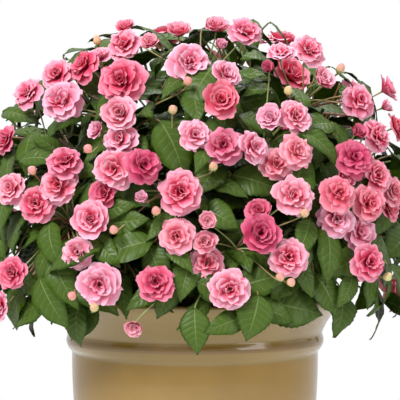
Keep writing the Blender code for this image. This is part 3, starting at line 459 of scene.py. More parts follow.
def glaze_material(name, body, reflection_tint):
    """Honey-olive glaze under a clear gloss, with cloudy flow, fine pinholes and a faint craze. By height,
    the collar and the roll under it get a greyer tint as painted reflection, and the band between them is
    darkened as painted dark reflection."""
    made, make, shader = new_material(name, Specular_IOR_Level=0.4, Coat_Weight=0.4, Coat_Roughness=0.03)
    place = make.add("ShaderNodeTexCoord", "Object")
    split = make.tree.nodes.new("ShaderNodeSeparateXYZ")
    make.tree.links.new(place, split.inputs[0])
    height = split.outputs[2]
    mottle = make.group(effect(mottle_group), Large=9.0, Fine=120.0, Share=0.2)[0]
    stretched = make.add("ShaderNodeMapping", 0, i0=place, i3=(1.0, 1.0, 0.22))
    flow = make.rise(make.noise(26.0, 4.0, stretched), 0.35, 0.7)
    tint = make.mix(make.times(mottle, 0.5), colour(body), tuple(0.82 * c for c in body) + (1,))
    tint = make.mix(make.times(flow, 0.16), tint, (0.20, 0.13, 0.045, 1))
    # Painted reflection: the roll under the collar's crease gets the greyer tint, which stands in for the
    # pale floor it mirrors.
    spike_radii_and_painted_roll_reflection = make.times(make.rise(height, 0.1915, 0.1935), make.rise(height, 0.2050, 0.2030))
    tint = make.mix(make.times(spike_radii_and_painted_roll_reflection, 0.80), tint, colour(reflection_tint))
    # Painted dark reflection: the bulge between the roll and the collar is darkened to a deep brown band.
    painted_dark_band = make.times(make.rise(height, 0.2030, 0.2048), make.rise(height, 0.2112, 0.2104))
    tint = make.mix(make.times(painted_dark_band, 0.75), tint, (0.17, 0.095, 0.020, 1))
    # Painted reflection: the upward-facing collar gets the greyer tint, which stands in for the bright
    # surround it mirrors.
    collar = make.rise(height, 0.2106, 0.2118)
    tint = make.mix(make.times(collar, 0.90), tint, colour(reflection_tint))
    specks = make.add("ShaderNodeTexVoronoi", "Distance", Vector=place, Scale=210.0)
    tint = make.mix(make.rise(specks, 0.10, 0.04, 0.0, 0.35), tint, (0.10, 0.06, 0.02, 1))
    make.feed(shader, "Base Color", tint)
    make.feed(shader, "Roughness", make.rise(mottle, 0.0, 1.0, 0.14, 0.24))
    make.bump(shader, 0.10, 0.0008, make.noise(38.0, 2.0))
    return made


def soil_material(name, wet, crumb):
    """Peaty compost: dark and damp, with lighter crumbs and fibres."""
    made, make, shader = new_material(name, Specular_IOR_Level=0.25)
    mottle = make.group(effect(mottle_group), Large=120.0, Fine=900.0, Share=0.5)[0]
    tint = make.mix(mottle, colour(wet), colour(crumb))
    make.feed(shader, "Base Color", tint)
    make.feed(shader, "Roughness", make.rise(mottle, 0.0, 1.0, 0.75, 0.95))
    make.bump(shader, 0.9, 0.0015, make.noise(420.0, 6.0))
    return made


# Pot and soil

# Radius and height of the pot's outline from its foot to the lip and down the inside, in millimetres
POT_BODY_TOP = (122.8, 190.0)
POT_COLLAR = (
    (122.6, 193.5), (123.3, 196.5), (125.6, 199.2), (127.6, 203.0), (128.4, 207.0), (127.6, 211.0),
    (127.0, 213.4), (127.6, 216.2), (129.2, 219.8), (132.4, 226.0), (137.5, 233.0), (142.0, 237.6),
    (145.6, 241.0), (148.4, 243.9), (149.8, 246.4), (149.6, 248.6), (148.0, 249.9), (145.6, 250.0),
    (143.2, 249.2), (141.2, 247.6), (138.0, 243.2), (133.6, 238.0), (129.0, 233.0), (124.0, 225.0),
    (119.4, 216.0),
)
POT_SWELL = 0.85
POT_FLOOR = 14.0
POT_WALL = 8.5
# The underside: a shallow hollow inside a foot ring, as distances in from the foot's radius, and heights
FOOT_RING = ((13, 3.0), (11, 0.0), (2.5, 0.0), (0.8, 0.7))
FLOOR_ROUNDING = (3, 1.5)
BODY_STEPS = 40
COLLAR_STEPS = 3


def pot_outline(foot_radius):
    """The body swells from the foot as radius = foot + (top - foot) sin(share * quarter turn) ** 0.85, then
    comes the collar, the lip, and the same curve a wall's thickness inside."""
    share = np.linspace(0, 1, BODY_STEPS)
    top, height = POT_BODY_TOP
    swell = foot_radius + (top - foot_radius) * np.sin(share * math.pi / 2) ** POT_SWELL
    rise = height * share
    foot = [(0, FOOT_RING[0][1]), *((foot_radius - inwards, z) for inwards, z in FOOT_RING)]
    collar = curve_through(np.array([[(r, z, 0) for r, z in POT_COLLAR]], float), COLLAR_STEPS)[0, :, :2]
    inside = [(r - POT_WALL, z) for r, z in zip(swell, rise) if z > POT_FLOOR + 6][::-1]
    corner, lift = FLOOR_ROUNDING
    end = inside[-1][0]
    base = [(end - corner, POT_FLOOR + lift), (end - 3 * corner, POT_FLOOR), (0, POT_FLOOR)]
    outline = [*foot, *zip(swell[1:], rise[1:]), *collar, *inside[2:], *base]
    return np.array(outline) * MM


def make_pot(sizes):
    """The pot's outline turned round the Z axis."""
    shape = Shape()
    turned_shape(shape, pot_outline(sizes.foot_radius / MM), sizes.segments)
    glaze = glaze_material("honey_glaze", sizes.body_colour, sizes.collar_reflection_colour)
    return shape.make("glazed_pot", "pot_glaze", [glaze], ["pot"])


SOIL_TOP = 228.0
SOIL_RADIUS = 118.5
SOIL_CROWN = 1.5
# The bed's underside and side: radius and height, in millimetres
SOIL_SIDE = ((0, 190), (112, 190), (114, 205), (117, 222))
SOIL_STEPS = 84
GRAIN_COUNT = 150
GRAIN_REACH = 112
GRAIN_SIZES = (1.2, 3.4)
GRAIN_RINGS = 6
GRAIN_SIDES = 7


def make_soil(sizes):
    """A bed whose top rises and falls by noise of two sizes, and loose crumbs of bark and grit on it."""
    shape = Shape()
    rings = np.linspace(1.0, 0.04, 30)
    profile = [*SOIL_SIDE, *((SOIL_RADIUS * share, SOIL_TOP + SOIL_CROWN * (1 - share)) for share in rings)]
    profile.append((0, SOIL_TOP + SOIL_CROWN))

    def lumps(grid):
        """Raises the bed's top by two sums of sines, and leaves its side as it is."""
        raised = np.clip((grid[..., 2] / MM - 223) / 4, 0, 1)
        relief = smooth_noise(grid, 0.035, 5) * 1.6 + smooth_noise(grid, 0.009, 6, 3) * 0.9
        return grid + np.stack([0 * relief, 0 * relief, raised * relief * MM], -1)

    turned_shape(shape, np.array(profile) * MM, SOIL_STEPS, lumps)
    compost = soil_material("compost", sizes.wet_colour, sizes.crumb_colour)
    shape.make("potting_soil", "potting_soil", [compost], ["soil"])
    grains = Shape()
    draw = np.random.default_rng(9)
    for _ in range(GRAIN_COUNT):
        radius = math.sqrt(draw.uniform(0, 1)) * GRAIN_REACH
        angle = draw.uniform(0, math.tau)
        size = draw.uniform(*GRAIN_SIZES)
        middle = np.array([radius * math.cos(angle), radius * math.sin(angle), SOIL_TOP + 2.2])
        add_grain(grains, middle * MM, size * MM, draw)
    bark = soil_material("bark_crumbs", (0.060, 0.036, 0.020), (0.24, 0.17, 0.10))
    grains.make("soil_crumbs", "potting_soil", [bark])


def add_grain(shape, middle, size, draw):
    """A lumpy closed pebble: a ball of a few rings, pushed in and out by chance and flattened one way."""
    rise = np.linspace(-1, 1, GRAIN_RINGS)[:, None] * 0.96
    angle = np.arange(GRAIN_SIDES) * math.tau / GRAIN_SIDES + 0.3
    level = np.sqrt(1 - rise**2)
    ball = np.stack([level * np.cos(angle), level * np.sin(angle), np.repeat(rise, GRAIN_SIDES, 1)], -1)
    ball = ball * draw.uniform(0.5, 1.0, 3) * draw.uniform(0.8, 1.2, ball.shape[:2])[..., None]
    ends = np.array([[0, 0, -1.0], [0, 0, 1.0]]) * np.abs(ball[..., 2]).max()
    points = np.concatenate([ball.reshape(-1, 3), ends]) * size + middle
    shape.add(points, ring_faces(GRAIN_RINGS, GRAIN_SIDES))


# Where everything grows, by the same values and rules as the frame's own source, in metres. Its plain shapes
# are built here only to find what is clear of what, so that every bloom and leaf stands where its solid does

EYE = (0.005, -1.650, 0.361)
VIEWER = Vector(EYE)
UP = Vector((0, 0, 1))
GOLDEN_TURN = math.pi * (3 - math.sqrt(5))

# Dome of foliage: its middle, its half widths, and how far it rises and hangs from the middle
DOME_CENTRE = np.array([0.0, 0.0, 0.275])
DOME_MIDDLE = Vector(DOME_CENTRE)
DOME_ACROSS = 0.222
DOME_FRONT = 0.212
DOME_RISE = 0.256
DOME_HANG = 0.170
DOME_SQUARENESS = 2.5
DOME_DEPTH = 0.215
FACING_FLATTENED = 0.60
FACING_LIFT = 0.12
SIGHT_STEPS = 106

# Pot and ground, as far as shoots and leaves keep clear of them
POT_HEIGHT = 0.250
RIM_RADIUS = 0.1500
COLLAR_RADIUS = 0.1305
WALL = 0.0085
GROUND = 0.228
HOLE_SPREAD = 0.084
HOLE_DEPTH = 0.026
RIM_CLEARANCE = 0.003
RIM_DEPTH = 0.06
RIM_SIDES = 32
RIM_STEPS = 8

# Shoots
SHOOT_COUNT = 25
SHOOT_LOWEST = 0.10
SHOOT_TIP_DEPTH = 0.060
ROUGH_STEM_RADIUS = 0.0044
ROUGH_TIP_RADIUS = 0.0024
STEM_POINTS = 6
STEM_SIDES = 5
STEM_CLEARANCE = 0.0012
STEM_UPRIGHT = 0.30
STEM_ARRIVAL = 0.32
STEM_LIFTS = (0.0, 0.012, 0.024, -0.012, 0.036, 0.05, 0.065, 0.08, 0.1)
ARRIVAL_STEEPNESS = 1.2
ARRIVAL_DROOP = 0.35

# Sprays: a spike at each tip, the stalks, and blooms and buds lofted through a few rings
SPIKE_LENGTH = 0.024
SPIKE_RADIUS = 0.0022
SPIKE_GAP = 0.0005
SPIKE_SHARE = (0.22, 0.92)
STALK_RADIUS = 0.0010
STALK_START = 0.005
KNEE_TURN = 1.05
KNEE_LENGTH = 0.011
BLOOM_BASE_DEPTH = 0.42
BUD_ACROSS = 0.0115
SEEN_STEP_BACK = 0.02
BUD_TONE = 0.3
BUD_LEAN = 25
FLOWER_INSET = 0.004
PUSH_STEP = 0.005
PUSH_TRIES = 12
SWOLLEN = 1.05
SWOLLEN_STALK = 2.1
RULE_BLOOM_COUNT = 74
RULE_BLOOM_LOWEST = -0.12
RULE_BLOOM_FRONT = 0.16
RULE_BLOOM_WIDTHS = (0.030, 0.034, 0.038, 0.042)
RULE_BLOOM_TURNS = (-20, 20)
RULE_BLOOM_LEANS = (-10, 25)
RULE_BLOOM_TONES = (0.15, 0.3, 0.4, 0.5, 0.6, 0.75, 0.9)
PETALS = 5
LARGE_BLOOM = 0.0415
SMALL_BLOOM = 0.0285
# Each ring of a bloom: points to a petal, radius at the tips, radius at the notches, height, turn in petals
LARGE_RINGS = (
    (3, 1.00, 0.80, -0.02, 0.0),
    (1, 0.64, 0.64, 0.08, 0.5),
    (2, 0.76, 0.60, 0.26, 0.5),
    (1, 0.40, 0.40, 0.18, 1.0),
    (1, 0.42, 0.42, 0.42, 1.5),
)
MEDIUM_RINGS = (
    (2, 1.00, 0.86, 0.00, 0.0),
    (1, 0.60, 0.60, 0.10, 0.5),
    (1, 0.68, 0.68, 0.34, 1.0),
    (1, 0.30, 0.30, 0.22, 1.5),
)
SMALL_RINGS = (
    (2, 1.00, 0.86, 0.04, 0.0),
    (1, 0.50, 0.50, 0.14, 0.5),
    (1, 0.54, 0.54, 0.46, 1.0),
)
BUD_RINGS = ((1, 0.42, 0.42, 0.05, 0.0),)
LARGE_MIDDLE = 0.18
MEDIUM_MIDDLE = 0.46
SMALL_MIDDLE = 0.26
BUD_MIDDLE = 1.10

# Leaves: places along the midrib of its own points and of the margin's, as shares of the length
FINE_RIB = (0.32, 0.68)
FINE_MARGIN = (0.15, 0.45, 0.79)
COARSE_RIB = (0.46,)
COARSE_MARGIN = (0.22, 0.66)
LEAF_ARCH = 0.10
LEAF_FOLD = 0.20
LEAF_WAVE = 0.030
LEAF_THICKNESS = 0.0016
LEAF_PEAK = 0.40
LEAF_SHARPNESS = 1.15
LEAF_STALK_RADIUS = 0.0011
LEAF_SHORTEST = 0.042
LEAF_LEAN = 0.032
LEAF_REACH = 0.075
LEAF_BEND = 1.15
LEAF_ROOTS_TRIED = 9
LEAF_ROOT_SHARES = (0.08, 0.25, 0.42, 0.59, 0.76, 0.93)
# The tries at a leaf's place: how far it is drawn in from the skin, its swing in degrees, and its slide
LEAF_TRIES = (
    (0.004, 0, 0.0),
    (0.008, 0, 0.0),
    (0.008, 14, 0.0),
    (0.008, -14, 0.0),
    (0.013, 0, 0.004),
    (0.013, 20, 0.0),
    (0.013, -20, 0.0),
    (0.019, 0, 0.006),
    (0.019, 28, 0.0),
    (0.019, -28, 0.0),
    (0.026, 0, 0.0),
    (0.026, 35, 0.008),
    (0.026, -35, 0.008),
    (0.034, 0, 0.0),
    (0.034, 45, 0.0),
    (0.034, -45, 0.0),
    (0.043, 0, 0.0),
    (0.043, 60, 0.0),
    (0.052, -60, 0.0),
)
LEAF_FOOT_INSET = 0.012
LEAF_LOWEST = 0.200
LEAF_STALK_START = 0.0075
LEAF_STALK_SHORTEST = 0.009
LEAF_STALK_BEHIND = 0.015
LEAF_STALK_BELOW = 0.004
LEAF_SWOLLEN = 1.04
SWOLLEN_THICKNESS = 0.0027
RULE_LEAF_COUNT = 158
RULE_LEAF_LOWEST = -0.24
RULE_LEAF_FRONT = -0.05
RULE_LEAF_LENGTHS = (0.047, 0.061)
RULE_LEAF_PROPORTIONS = (0.58, 0.68)
RULE_LEAF_SWING = 75
INNER_LEAF_INSET = 0.024

# Blooms seen from the front: place across and up and width in millimetres, tone from pale to deep, turn to
# the right and lean upwards in degrees
SEEN_BLOOMS = (
    (-70, 519, 26, 0.6, -20, 15),
    (-72, 502, 35, 0.5, 0, 0),
    (-45, 503, 24, 0.45, 0, 10),
    (-16, 514, 30, 0.5, 0, 25),
    (-113, 481, 36, 0.85, -50, -10),
    (-96, 490, 28, 0.1, -30, 30),
    (-75, 466, 47, 0.8, 0, -5),
    (-4, 484, 46, 0.15, 25, -15),
    (-139, 472, 36, 0.55, 15, 0),
    (-169, 453, 34, 0.5, -10, 10),
    (-134, 446, 42, 0.3, 15, 0),
    (-76, 433, 40, 0.3, 0, 0),
    (-191, 406, 32, 0.75, 10, 0),
    (-131, 386, 36, 0.65, 10, 40),
    (-77, 407, 37, 0.25, 0, -10),
    (-98, 416, 26, 0.15, -50, 0),
    (-82, 377, 43, 0.4, 0, -10),
    (-50, 381, 38, 0.9, 30, 0),
    (-138, 361, 41, 0.4, 10, 0),
    (-186, 358, 34, 0.3, 20, 0),
    (-159, 342, 41, 0.7, 20, 0),
    (-92, 353, 32, 0.85, 0, 0),
    (-14, 354, 47, 0.6, 0, 0),
    (1, 411, 35, 0.2, 15, -5),
    (-54, 347, 20, 0.1, 0, 35),
    (21, 519, 31, 0.45, 0, 15),
    (52, 515, 34, 0.5, 20, 0),
    (26, 500, 20, 0.25, 20, 10),
    (32, 473, 32, 0.2, 50, 0),
    (26, 446, 41, 0.7, 0, 5),
    (86, 493, 32, 0.35, 0, 35),
    (116, 497, 36, 0.4, 0, 0),
    (97, 473, 42, 0.75, 0, -10),
    (73, 478, 20, 0.9, -30, 0),
    (128, 466, 32, 0.2, 30, 0),
    (165, 446, 35, 0.45, -15, 0),
    (193, 457, 33, 0.5, -10, 0),
    (191, 439, 20, 0.15, -10, 0),
    (102, 430, 36, 0.35, 25, 0),
    (74, 428, 30, 0.15, -45, 0),
    (29, 401, 43, 0.6, 0, -5),
    (60, 398, 36, 0.25, 35, 0),
    (104, 395, 37, 0.3, 10, 0),
    (82, 382, 36, 0.35, 0, 0),
    (163, 414, 24, 0.85, 0, 20),
    (185, 411, 35, 0.5, -10, 0),
    (202, 419, 30, 0.55, -15, 0),
    (161, 389, 40, 0.9, -20, 0),
    (183, 370, 38, 0.5, -20, -5),
    (99, 351, 41, 0.35, 0, 20),
    (145, 352, 40, 0.6, 0, 10),
    (176, 342, 38, 0.55, -10, 0),
    (200, 354, 32, 0.35, -15, 0),
    (-105, 327, 41, 0.55, 10, 0),
    (-118, 293, 35, 0.2, 10, 0),
    (-184, 273, 34, 0.8, 25, 0),
    (-96, 261, 44, 0.2, 10, 0),
    (-40, 264, 38, 0.85, 0, 25),
    (-18, 309, 37, 0.35, 0, 0),
    (-61, 218, 26, 0.1, 0, -30),
    (-197, 240, 30, 0.5, 10, 0),
    (13, 324, 24, 0.2, 0, 0),
    (10, 304, 28, 0.35, 0, 0),
    (12, 283, 38, 0.45, 10, 0),
    (35, 256, 43, 0.35, 0, 0),
    (67, 312, 43, 0.95, 0, 0),
    (95, 288, 41, 0.5, 0, 0),
    (64, 335, 30, 0.85, -20, 30),
    (142, 326, 39, 0.15, -20, 0),
    (167, 314, 38, 0.2, -10, 0),
    (176, 283, 39, 0.7, -15, 0),
    (196, 339, 30, 0.55, -10, 0),
    (88, 421, 24, 0.8, 0, 0),
    (150, 367, 26, 0.85, 0, 0),
)
# The seen blooms, counted from 1, that lean from rose to coral, up to 1, or to lilac, down to -1
SEEN_WARMTHS = {
    1: (44, 52), 0.9: (43, 51, 53, 59, 60), 0.8: (30, 47, 62, 63), 0.7: (72,), 0.6: (64,),
    0.5: (3, 12, 26), 0.4: (17, 39, 55), 0.3: (1, 21, 24, 65, 67), 0.2: (5, 23), 0: (8,), -0.1: (54,),
    -0.15: (7,), -0.2: (37, 42, 69), -0.3: (29, 36, 56, 61, 71), -0.4: (40, 74), -0.5: (22, 58, 73),
    -0.6: (14, 68), -0.8: (41, 45), -0.9: (18, 34, 48), -1: (66,),
}

# The other blooms' warmths are a sine of their number, in radians, times the most it may be
WARMTH_TURN = 12.9898
WARMTH_SPREAD = 0.5

# Buds seen from the front: place across and up in millimetres
SEEN_BUDS = (
    (-40, 332),
    (-82, 315),
    (-101, 236),
    (-162, 373),
    (-107, 395),
    (-97, 503),
    (18, 377),
    (144, 475),
    (108, 331),
    (84, 267),
    (96, 263),
    (191, 269),
    (94, 453),
    (-122, 248),
    (-8, 462),
    (-23, 434),
)

# Leaves seen from the front: place across and up of the blade's foot and of its tip, and its width, in
# millimetres
SEEN_LEAVES = (
    (-144, 434, -189, 425, 28),
    (-173, 409, -176, 370, 29),
    (-154, 405, -168, 414, 16),
    (-96, 453, -130, 462, 24),
    (-65, 444, -23, 441, 28),
    (-4, 455, -5, 424, 27),
    (-55, 491, -38, 475, 22),
    (-85, 503, -109, 502, 20),
    (-57, 512, -40, 514, 18),
    (5, 509, -32, 503, 24),
    (-94, 434, -115, 416, 18),
    (-89, 449, -103, 434, 18),
    (-11, 398, -43, 378, 23),
    (-13, 416, -34, 418, 18),
    (12, 396, 3, 374, 20),
    (-120, 370, -104, 356, 18),
    (-58, 407, -32, 403, 24),
    (-184, 440, -215, 428, 26),
    (-14, 463, -31, 449, 18),
    (-183, 433, -196, 415, 20),
    (37, 503, 82, 500, 26),
    (8, 493, 34, 487, 18),
    (71, 485, 50, 488, 18),
    (50, 469, 72, 472, 18),
    (71, 456, 46, 448, 18),
    (73, 469, 84, 450, 18),
    (102, 455, 122, 434, 22),
    (118, 461, 139, 443, 18),
    (41, 437, 73, 424, 28),
    (49, 387, 58, 359, 22),
    (55, 385, 71, 363, 18),
    (22, 374, 26, 337, 30),
    (31, 357, 52, 347, 18),
    (120, 412, 117, 378, 23),
    (129, 380, 126, 353, 20),
    (127, 417, 160, 403, 22),
    (150, 416, 171, 408, 18),
    (155, 434, 167, 424, 16),
    (176, 454, 187, 442, 16),
    (143, 444, 127, 428, 18),
    (154, 459, 170, 462, 18),
    (205, 397, 179, 387, 18),
    (143, 453, 151, 417, 20),
    (138, 450, 146, 415, 18),
    (-172, 330, -186, 288, 32),
    (-125, 317, -148, 334, 20),
    (-87, 334, -55, 342, 20),
    (-82, 319, -50, 308, 25),
    (-37, 317, -53, 303, 18),
    (-99, 304, -74, 281, 24),
    (-130, 307, -161, 289, 22),
    (-138, 248, -191, 251, 34),
    (-119, 254, -152, 261, 24),
    (-164, 239, -161, 200, 32),
    (-193, 232, -198, 200, 28),
    (-119, 245, -143, 236, 18),
    (-115, 245, -115, 198, 30),
    (-97, 238, -79, 207, 25),
    (-62, 218, -76, 182, 26),
    (-43, 233, -41, 188, 24),
    (-47, 249, -72, 233, 20),
    (-43, 250, -24, 231, 20),
    (-1, 237, 0, 190, 28),
    (-7, 275, -19, 240, 26),
    (-4, 237, -26, 229, 16),
    (-17, 290, -2, 272, 18),
    (-71, 257, -71, 226, 18),
    (-121, 283, -140, 274, 18),
    (21, 328, 49, 314, 30),
    (39, 300, 67, 282, 22),
    (88, 268, 58, 260, 26),
    (63, 247, 54, 204, 34),
    (69, 256, 88, 236, 24),
    (104, 276, 119, 244, 22),
    (123, 264, 145, 225, 32),
    (107, 243, 151, 203, 30),
    (155, 266, 146, 233, 22),
    (151, 231, 175, 214, 24),
    (180, 264, 177, 227, 24),
    (205, 242, 205, 212, 24),
    (119, 303, 160, 271, 30),
    (113, 323, 88, 299, 24),
    (127, 329, 109, 306, 20),
    (111, 300, 124, 272, 18),
    (205, 317, 189, 294, 28),
    (200, 297, 191, 270, 22),
    (27, 283, 46, 273, 18),
)

def blade_half_width(run):
    """An oval that draws out to the tip: (run / p)^a ((1 - run) / (1 - p))^b, 1 at its widest, run = p."""
    power = LEAF_SHARPNESS * LEAF_PEAK / (1 - LEAF_PEAK)
    return (run / LEAF_PEAK) ** power * ((1 - run) / (1 - LEAF_PEAK)) ** LEAF_SHARPNESS


def fullness(point, inset=0.0):
    """How far out a point stands: 1 on the dome's skin, or on the skin drawn in by inset."""
    offset = (point - DOME_MIDDLE) / (1 - inset / DOME_DEPTH)
    rise = DOME_RISE if offset.z > 0 else DOME_HANG
    parts = (offset.x / DOME_ACROSS, offset.y / DOME_FRONT, offset.z / rise)
    return sum(abs(part) ** DOME_SQUARENESS for part in parts)


def outward(point):
    """The way out of the dome at a point, flatter than its skin, as blooms turn to the light at the side."""
    offset = point - DOME_MIDDLE
    rise = DOME_RISE if offset.z > 0 else DOME_HANG
    power = DOME_SQUARENESS - 1
    parts = ((offset.x, DOME_ACROSS), (offset.y, DOME_FRONT), (offset.z, rise))
    slope = Vector([math.copysign(abs(part / reach) ** power, part) / reach for part, reach in parts])
    slope.normalize()
    slope.z = FACING_FLATTENED * slope.z + FACING_LIFT
    return slope.normalized()


def on_skin(direction, inset):
    """The point of the dome's skin, drawn in by inset, along a direction from its middle."""
    reach = fullness(DOME_MIDDLE + direction) ** (-1 / DOME_SQUARENESS)
    return DOME_MIDDLE + direction * reach * (1 - inset / DOME_DEPTH)


def in_sight(across, up, inset, side_step=0.0):
    """Where the line of sight through a place in the pot's middle plane meets the dome, drawn in by inset."""
    aim = Vector((across, 0, up)) - VIEWER
    for step in range(SIGHT_STEPS + 1):
        depth = side_step + (step / SIGHT_STEPS - 1) * DOME_FRONT
        point = VIEWER + aim * ((depth - VIEWER.y) / -VIEWER.y)
        if fullness(point, inset) <= 1:
            break
    return point


def level_with(foot, tip):
    """The tip moved along its line of sight to within a leaf's lean of the foot's depth."""
    depth = min(max(tip.y, foot.y - LEAF_LEAN), foot.y + LEAF_LEAN)
    return VIEWER + (tip - VIEWER) * ((depth - VIEWER.y) / (tip.y - VIEWER.y))


def spiral(count, lowest, offset):
    """Directions spread evenly from straight up down to a lowest rise, round a golden spiral."""
    for k in range(count):
        rise = 1 - (1 - lowest) * (k + 0.5) / count
        level = math.sqrt(1 - rise * rise)
        angle = k * GOLDEN_TURN + offset
        yield Vector((level * math.cos(angle), level * math.sin(angle), rise))


def turned(facing, turn, lean):
    """A facing turned to the right round the vertical and leant upwards, in degrees."""
    flat = Quaternion(UP, math.radians(turn)) @ Vector((facing.x, facing.y, 0))
    rise = min(1.45, math.atan2(facing.z, flat.length) + math.radians(lean))
    return flat.normalized() * math.cos(rise) + UP * math.sin(rise)


def stitch(low, high):
    """Triangles between two rings of unlike counts, given as lists of vertex numbers."""
    faces = []
    i = j = 0
    steps_low = len(low) if len(low) > 1 else 0
    steps_high = len(high) if len(high) > 1 else 0
    while i < steps_low or j < steps_high:
        share_low = (i + 1) / steps_low if i < steps_low else 2
        share_high = (j + 1) / steps_high if j < steps_high else 2
        here, there = low[i % len(low)], high[j % len(high)]
        if share_low <= share_high:
            i += 1
            faces.append((here, low[i % len(low)], there))
        else:
            j += 1
            faces.append((here, high[j % len(high)], there))
    return faces


def flower_kind(width):
    """The rings and the middle's height that a bloom or bud of this width is lofted through."""
    if width <= BUD_ACROSS:
        return BUD_RINGS, BUD_MIDDLE
    if width <= SMALL_BLOOM:
        return SMALL_RINGS, SMALL_MIDDLE
    if width <= LARGE_BLOOM:
        return MEDIUM_RINGS, MEDIUM_MIDDLE
    return LARGE_RINGS, LARGE_MIDDLE


def stalk_line(root, base, facing):
    """The stalk's points from root to bloom, with a knee where it would arrive from the side."""
    if (base - root).angle(facing, 0) < KNEE_TURN:
        return [root, base]
    return [root, base - facing * KNEE_LENGTH, base]


def rough_flower(root, place, facing, width, seed):
    """The frame's plain bloom or bud, which only tests what is clear: its stalk's sections, then rings of
    petals, as one closed loft."""
    draw = random.Random(seed)
    radius = width / 2
    rings, middle = flower_kind(width)
    line = stalk_line(root, place - facing * BLOOM_BASE_DEPTH * radius, facing)
    across = (line[1] - line[0]).cross(facing)
    side = across.normalized() if across.length > 0.004 else facing.orthogonal().normalized()
    points = []
    faces = [(0, 2, 1)]
    last = []
    ways = [(after - before).normalized() for before, after in zip(line, line[1:])] + [facing]
    for number, centre in enumerate(line):
        along = (ways[number] + ways[number - 1]).normalized() if number else ways[0]
        over = along.cross(side)
        ring = []
        for k in range(3):
            angle = math.tau * k / 3
            ring.append(len(points))
            points.append(centre + (side * math.cos(angle) + over * math.sin(angle)) * STALK_RADIUS)
        faces += stitch(last, ring) if last else []
        last = ring
    over = facing.cross(side)
    spin = draw.uniform(-0.5, 0.5)
    for per_petal, tip, notch, height, turn in rings:
        ring = []
        for k in range(per_petal * PETALS):
            at_notch = per_petal > 1 and k % per_petal == 0
            reach = radius * (notch if at_notch else tip) * draw.uniform(0.92, 1.04)
            share = k / per_petal + turn
            if per_petal == 3 and not at_notch:
                share += 0.08 if k % per_petal == 2 else -0.08
            angle = spin + math.tau * share / PETALS
            rise = radius * (height + draw.uniform(-0.05, 0.05))
            ring.append(len(points))
            flat = side * math.cos(angle) + over * math.sin(angle)
            points.append(place + flat * reach + facing * rise)
        faces += stitch(last, ring)
        last = ring
    points.append(place + facing * radius * middle)
    faces += stitch(last, [len(points) - 1])
    return points, faces


def margin_fan(base, ribs, end, margin):
    """Triangles across one half of a blade, in a zigzag between its midrib and its margin."""
    faces = [(base, ribs[0], margin[0])]
    for k, rib in enumerate(ribs):
        faces.append((margin[k], rib, margin[k + 1]))
        faces.append((rib, ribs[k + 1] if k + 1 < len(ribs) else end, margin[k + 1]))
    return faces


def rough_leaf(root, foot, tip, normal, width, fine, thickness=LEAF_THICKNESS):
    """The frame's plain leaf, which only tests what is clear: a root in the stem, then an arched and folded
    blade, as one closed loft."""
    along = tip - foot
    length = along.length
    side = along.cross(normal).normalized()
    top = side.cross(along).normalized()
    bend = along.rotation_difference(foot - root)
    ribs, margin = (FINE_RIB, FINE_MARGIN) if fine else (COARSE_RIB, COARSE_MARGIN)

    def rib_point(share):
        return foot + along * share + top * 4 * share * (1 - share) * LEAF_ARCH * length

    points = []
    for centre, right, high in ((root, bend @ side, bend @ top), (foot, side, top)):
        right, high = right * LEAF_STALK_RADIUS, high * LEAF_STALK_RADIUS * 1.5
        points += [centre - right, centre + right, centre - high]
    points += [rib_point(share) for share in ribs]
    points += [rib_point(share) - top * thickness for share in ribs]
    points.append(tip)
    for hand in (-1, 1):
        for number, share in enumerate(margin):
            half = blade_half_width(share) * width / 2
            wave = LEAF_WAVE * length * (1 if (number % 2) == (hand > 0) else -1)
            points.append(rib_point(share) + side * half * hand + top * (half * LEAF_FOLD + wave))
    upper = list(range(6, 6 + len(ribs)))
    under = [k + len(ribs) for k in upper]
    end = under[-1] + 1
    left = list(range(end + 1, end + 1 + len(margin)))
    right = [k + len(margin) for k in left]
    faces = [(0, 2, 1), (3, 4, upper[0]), (3, under[0], 5), (5, under[0], 4)]
    for a, b in ((0, 1), (1, 2), (2, 0)):
        faces += [(a, b, b + 3), (a, b + 3, a + 3)]
    faces += margin_fan(3, upper, end, left)
    faces += [face[::-1] for face in margin_fan(3, under, end, left)]
    faces += [face[::-1] for face in margin_fan(4, upper, end, right)]
    faces += margin_fan(4, under, end, right)
    return points, faces


def stem_line(number, tip, lift):
    """A shoot's points from the bottom of its hole, upright out of the soil, and in an arch to its tip."""
    angle = number * GOLDEN_TURN
    spread = HOLE_SPREAD * math.sqrt((number + 0.5) / SHOOT_COUNT)
    ground = Vector((spread * math.cos(angle), spread * math.sin(angle), GROUND))
    reach = (tip - ground).length
    away = (tip - DOME_MIDDLE).normalized()
    arrival = Vector((away.x, away.y, away.z * ARRIVAL_STEEPNESS - ARRIVAL_DROOP)).normalized()
    line = [ground - UP * HOLE_DEPTH, ground + UP * 0.002]
    above = ground + UP * (STEM_UPRIGHT * reach + lift)
    before = tip - arrival * STEM_ARRIVAL * reach
    for step in range(1, STEM_POINTS - 1):
        t = step / (STEM_POINTS - 2)
        weights = ((1 - t) ** 3, 3 * t * (1 - t) ** 2, 3 * t * t * (1 - t), t**3)
        ends = (line[1], above, before, tip)
        line.append(sum((end * weight for end, weight in zip(ends, weights)), Vector()))
    return line


def stem_radii():
    """The stem's radius at each of its points, with the buried foot at full width."""
    taper = ROUGH_TIP_RADIUS - ROUGH_STEM_RADIUS
    above = [ROUGH_STEM_RADIUS + taper * k / (STEM_POINTS - 2) for k in range(STEM_POINTS - 1)]
    return [ROUGH_STEM_RADIUS] + above


def rough_tube(line, radii, sides):
    """An open tube round a line, used only to test what is clear of it."""
    points, faces = [], []
    last = []
    for k, (centre, radius) in enumerate(zip(line, radii)):
        along = (line[min(k + 1, len(line) - 1)] - line[max(k - 1, 0)]).normalized()
        side = along.orthogonal().normalized()
        over = along.cross(side)
        ring = []
        for s in range(sides):
            angle = math.tau * s / sides
            ring.append(len(points))
            points.append(centre + (side * math.cos(angle) + over * math.sin(angle)) * radius)
        faces += stitch(last, ring) if last else []
        last = ring
    return points, faces


